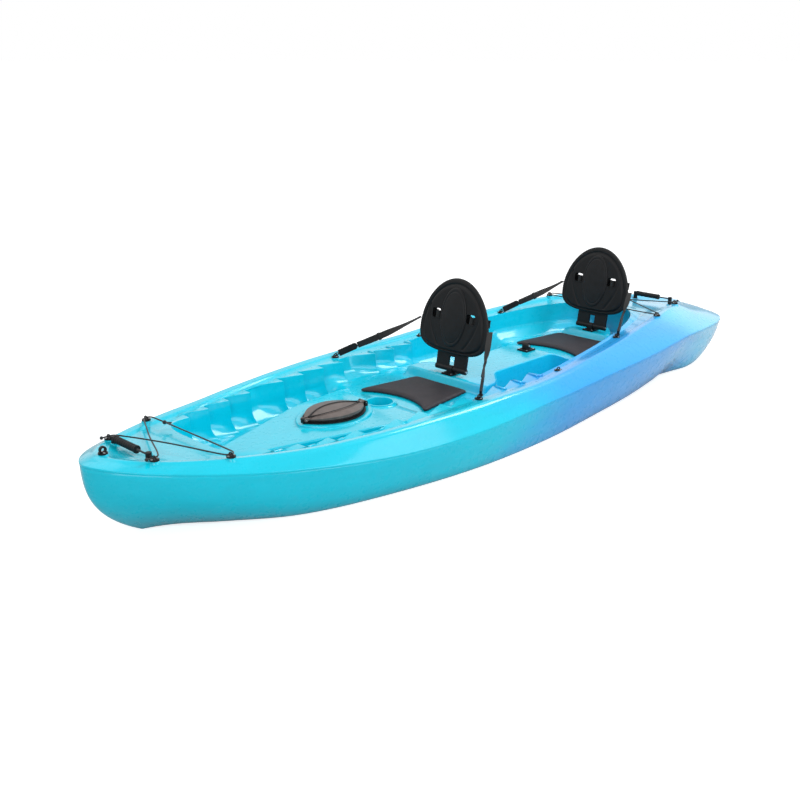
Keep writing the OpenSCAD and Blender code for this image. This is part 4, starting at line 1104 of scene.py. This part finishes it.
def lacing(eyes, s):
    """Route of a shock cord through its four eyes, as in the solid model."""
    first, last, near, far = eyes
    low = [(first, 24, 0), (first, 12, 0), (first, 0, 0), (first, -12, 3), (first, -22, 16)]
    turn = [(20, 22), (11, 5), (0, 0), (-9, 2), (-15, 12), (-16, 24)]
    up = [(far, dx, -dy) for dx, dy in turn]
    down = [(near, dx, dy) for dx, dy in turn[::-1]]
    end = [(last, dx, -dy) for _, dx, dy in low[::-1]]

    def lead(row, rise=CORD_RISE):
        return row[0] + np.array([row[1] * s, row[2], rise])

    out = [lead(row) for row in low] + [lead(((first + far) / 2, 0, 0), CORD_RISE + 5)]
    out += [lead(row) for row in up + down] + [lead(((near + last) / 2, 0, 0), CORD_RISE - 4)]
    return out + [lead(row) for row in end]


class KAYAK_OT_lid(bpy.types.Operator):
    """Black ridges and edge band on the hatch lid"""

    bl_idname = "kayak.lid"
    bl_label = "Lid trim"

    def execute(self, context):
        lid = frame["nodes"]["hatch_lid"]
        tree = BVHTree.FromPolygons([v.co.copy() for v in lid.data.vertices],
                                    [tuple(q.vertices) for q in lid.data.polygons])
        parts = []
        t = np.linspace(-1, 1, 61)
        for share in (RIDGE_SHARE, -RIDGE_SHARE):
            x = HATCH_X + t * (HATCH_LENGTH / 2 - RIDGE_END)
            y = share * HATCH_WIDTH / 2 * (1 - t * t)
            z = np.array([top_of(tree, a, b) for a, b in zip(x, y)])
            z = np.convolve(np.pad(z, 3, mode="edge"), np.ones(7) / 7, mode="valid")
            parts.append(tube_mesh(points(x, y, z), RIDGE_R, 12))
        ridges = made("hatch_ridges", joined(parts))
        x, y = leaf_outline(HATCH_LENGTH - 1, HATCH_WIDTH - 1, 64).T
        base = min(v.co.z for v in lid.data.vertices if abs(v.co.y) > 0.04) * 1000
        rows = [points(HATCH_X + x * grow, y * grow, base + up)
                for grow, up in ((0.985, 0.4), (1.008, 0.6), (1.012, 2.5), (1.008, 4.6), (0.985, 5.4))]
        band = made("hatch_edge_band", skin(rows))
        for piece in (ridges, band):
            paint(piece, blacks())
            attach(piece, "hatch_lid")
        return {"FINISHED"}


def top_of(tree, x, y):
    """Height of a solid's upper face over a place, in millimetres."""
    hit = tree.ray_cast(Vector((x / 1000, y / 1000, 1.0)), Vector((0, 0, -1)))
    if hit[0] is None:
        raise RuntimeError(f"nothing under {x:.0f}, {y:.0f}")
    return hit[0].z * 1000


class KAYAK_OT_fittings(bpy.types.Operator):
    """Finishes of the solid fittings that show as they are"""

    bl_idname = "kayak.fittings"
    bl_label = "Fittings"

    def execute(self, context):
        slots = {p["node"]: p["material_slot"] for p in frame["record"]["subparts"]}
        c = colours()
        finishes = {
            "stainless": brushed_metal("stainless"),
            "deck_plastic": plastic(),
            "hull_plastic": plastic(),
            "cord": braid(),
            "lid_plastic": grained_black("hatch lid plastic", c.lid, (0.3, 0.42), 700, 0.0002),
            "gasket": grained_black("gasket rubber", shade(c.black, 1.5), (0.65, 0.8), 1200, 0.0002),
        }
        for name, obj in frame["nodes"].items():
            if not obj.hide_render:
                paint(obj, finishes.get(slots[name], blacks()))
        return {"FINISHED"}


class KAYAK_OT_stage(bpy.types.Operator):
    """Pale floor, soft studio light and the camera"""

    bl_idname = "kayak.stage"
    bl_label = "Stage"

    def execute(self, context):
        scene = context.scene
        far = FLOOR_REACH
        corners = [(-far, -far, 0), (far, -far, 0), (far, far, 0), (-far, far, 0)]
        floor = mesh_object("floor", corners, [(0, 1, 2, 3)], False)
        material = bpy.data.materials.new("pale floor")
        m = Nodes(material)
        m.feed(m.shader, {"Base Color": (0.55, 0.55, 0.55, 1), "Roughness": 0.9, "Specular IOR Level": 0.0})
        white = m.add("Emission", (1, 1, 1, 1), m.math("MULTIPLY", seen_ray(m, False), 0.78))
        both = m.add("AddShader", m.shader.outputs["BSDF"], white.outputs["Emission"])
        m.feed(m.nodes["Material Output"], {"Surface": both.outputs["Shader"]})
        floor.data.materials.append(material)

        scene.world = bpy.data.worlds.new("studio")
        w = Nodes(scene.world)
        plain = w.nodes["Background"]
        w.feed(plain, {"Color": (0.92, 0.96, 1.0, 1), "Strength": 0.55})
        bright = w.add("Background", (1, 1, 1, 1), 1.0)
        both = [node.outputs["Background"] for node in (plain, bright)]
        blend = w.add("MixShader", seen_ray(w, True), *both)
        w.feed(w.nodes["World Output"], {"Surface": blend.outputs["Shader"]})

        for name, place, aim, power, size in LAMPS:
            data = bpy.data.lights.new(name, "AREA")
            data.energy = power
            data.size = size
            look_along(new_object(name, data), place, Vector(aim) - Vector(place))

        data = bpy.data.cameras.new("camera")
        data.sensor_width = CAMERA_SENSOR
        data.lens = CAMERA_LENS
        data.clip_end = CAMERA_REACH
        camera = new_object("camera", data)
        level = math.cos(CAMERA_PITCH)
        look_along(camera, CAMERA_PLACE, Vector((level * math.cos(CAMERA_YAW), level * math.sin(CAMERA_YAW),
                                                 -math.sin(CAMERA_PITCH))))
        scene.camera = camera
        scene.view_settings.view_transform = "Standard"
        return {"FINISHED"}


# Floor and camera in metres, degrees and millimetres of lens; each lamp's place, aim, watts and size.
FLOOR_REACH = 900.0
CAMERA_PLACE, CAMERA_REACH = (2.823, 2.432, 1.304), 2000
CAMERA_YAW, CAMERA_PITCH = math.radians(-135.42), math.radians(18.56)
CAMERA_SENSOR, CAMERA_LENS = 36.0, 45.54
LAMPS = (
    ("key", (2.0, -2.4, 4.2), (0, 0, 0.2), 50, 3.2),
    ("strip", (-2.0, 1.1, 3.2), (0.2, -0.1, 0.2), 95, 1.5),
    ("front", (4.4, 3.0, 2.2), (0.6, 0, 0.2), 78, 3.0),
    ("side", (-1.1, 5.4, 2.4), (-0.3, 0, 0.2), 112, 3.4),
)


def look_along(obj, place, direction):
    """Stands a lamp or a camera at a place, looking in a direction."""
    obj.location = place
    obj.rotation_mode = "QUATERNION"
    obj.rotation_quaternion = direction.to_track_quat("-Z", "Y")


def seen_ray(n, gloss):
    """One for rays that carry the background: from the camera, through glass and, if asked, off gloss."""
    ray = n.add("LightPath").outputs
    seen = n.math("MAXIMUM", ray["Is Camera Ray"], ray["Is Transmission Ray"])
    return n.math("MAXIMUM", seen, ray["Is Glossy Ray"]) if gloss else seen


class KAYAK_PT_panel(bpy.types.Panel):
    """The kayak's sizes, colours and pieces"""

    bl_label = "Kayak"
    bl_idname = "KAYAK_PT_panel"
    bl_space_type = "VIEW_3D"
    bl_region_type = "UI"
    bl_category = "Kayak"

    def draw(self, context):
        for group in (context.scene.kayak_sizes, context.scene.kayak_colours):
            box = self.layout.box()
            for name in group.__annotations__:
                box.prop(group, name)
        for operator in OPERATORS:
            self.layout.operator(operator.bl_idname)


OPERATORS = (KAYAK_OT_stage, KAYAK_OT_hull, KAYAK_OT_deck, KAYAK_OT_backrests, KAYAK_OT_pads, KAYAK_OT_straps,
             KAYAK_OT_cords, KAYAK_OT_lid, KAYAK_OT_fittings)
CLASSES = (KayakSizes, KayakColours, *OPERATORS, KAYAK_PT_panel)


def register():
    for cls in CLASSES:
        bpy.utils.register_class(cls)
    bpy.types.Scene.kayak_sizes = PointerProperty(type=KayakSizes)
    bpy.types.Scene.kayak_colours = PointerProperty(type=KayakColours)


def unregister():
    del bpy.types.Scene.kayak_colours
    del bpy.types.Scene.kayak_sizes
    for cls in reversed(CLASSES):
        bpy.utils.unregister_class(cls)


def main():
    register()
    bpy.ops.kayak.stage()
    bpy.ops.kayak.hull()
    bpy.ops.kayak.deck()
    bpy.ops.kayak.backrests()
    bpy.ops.kayak.pads()
    bpy.ops.kayak.straps()
    bpy.ops.kayak.cords()
    bpy.ops.kayak.lid()
    bpy.ops.kayak.fittings()


if __name__ == "__main__":
    main()
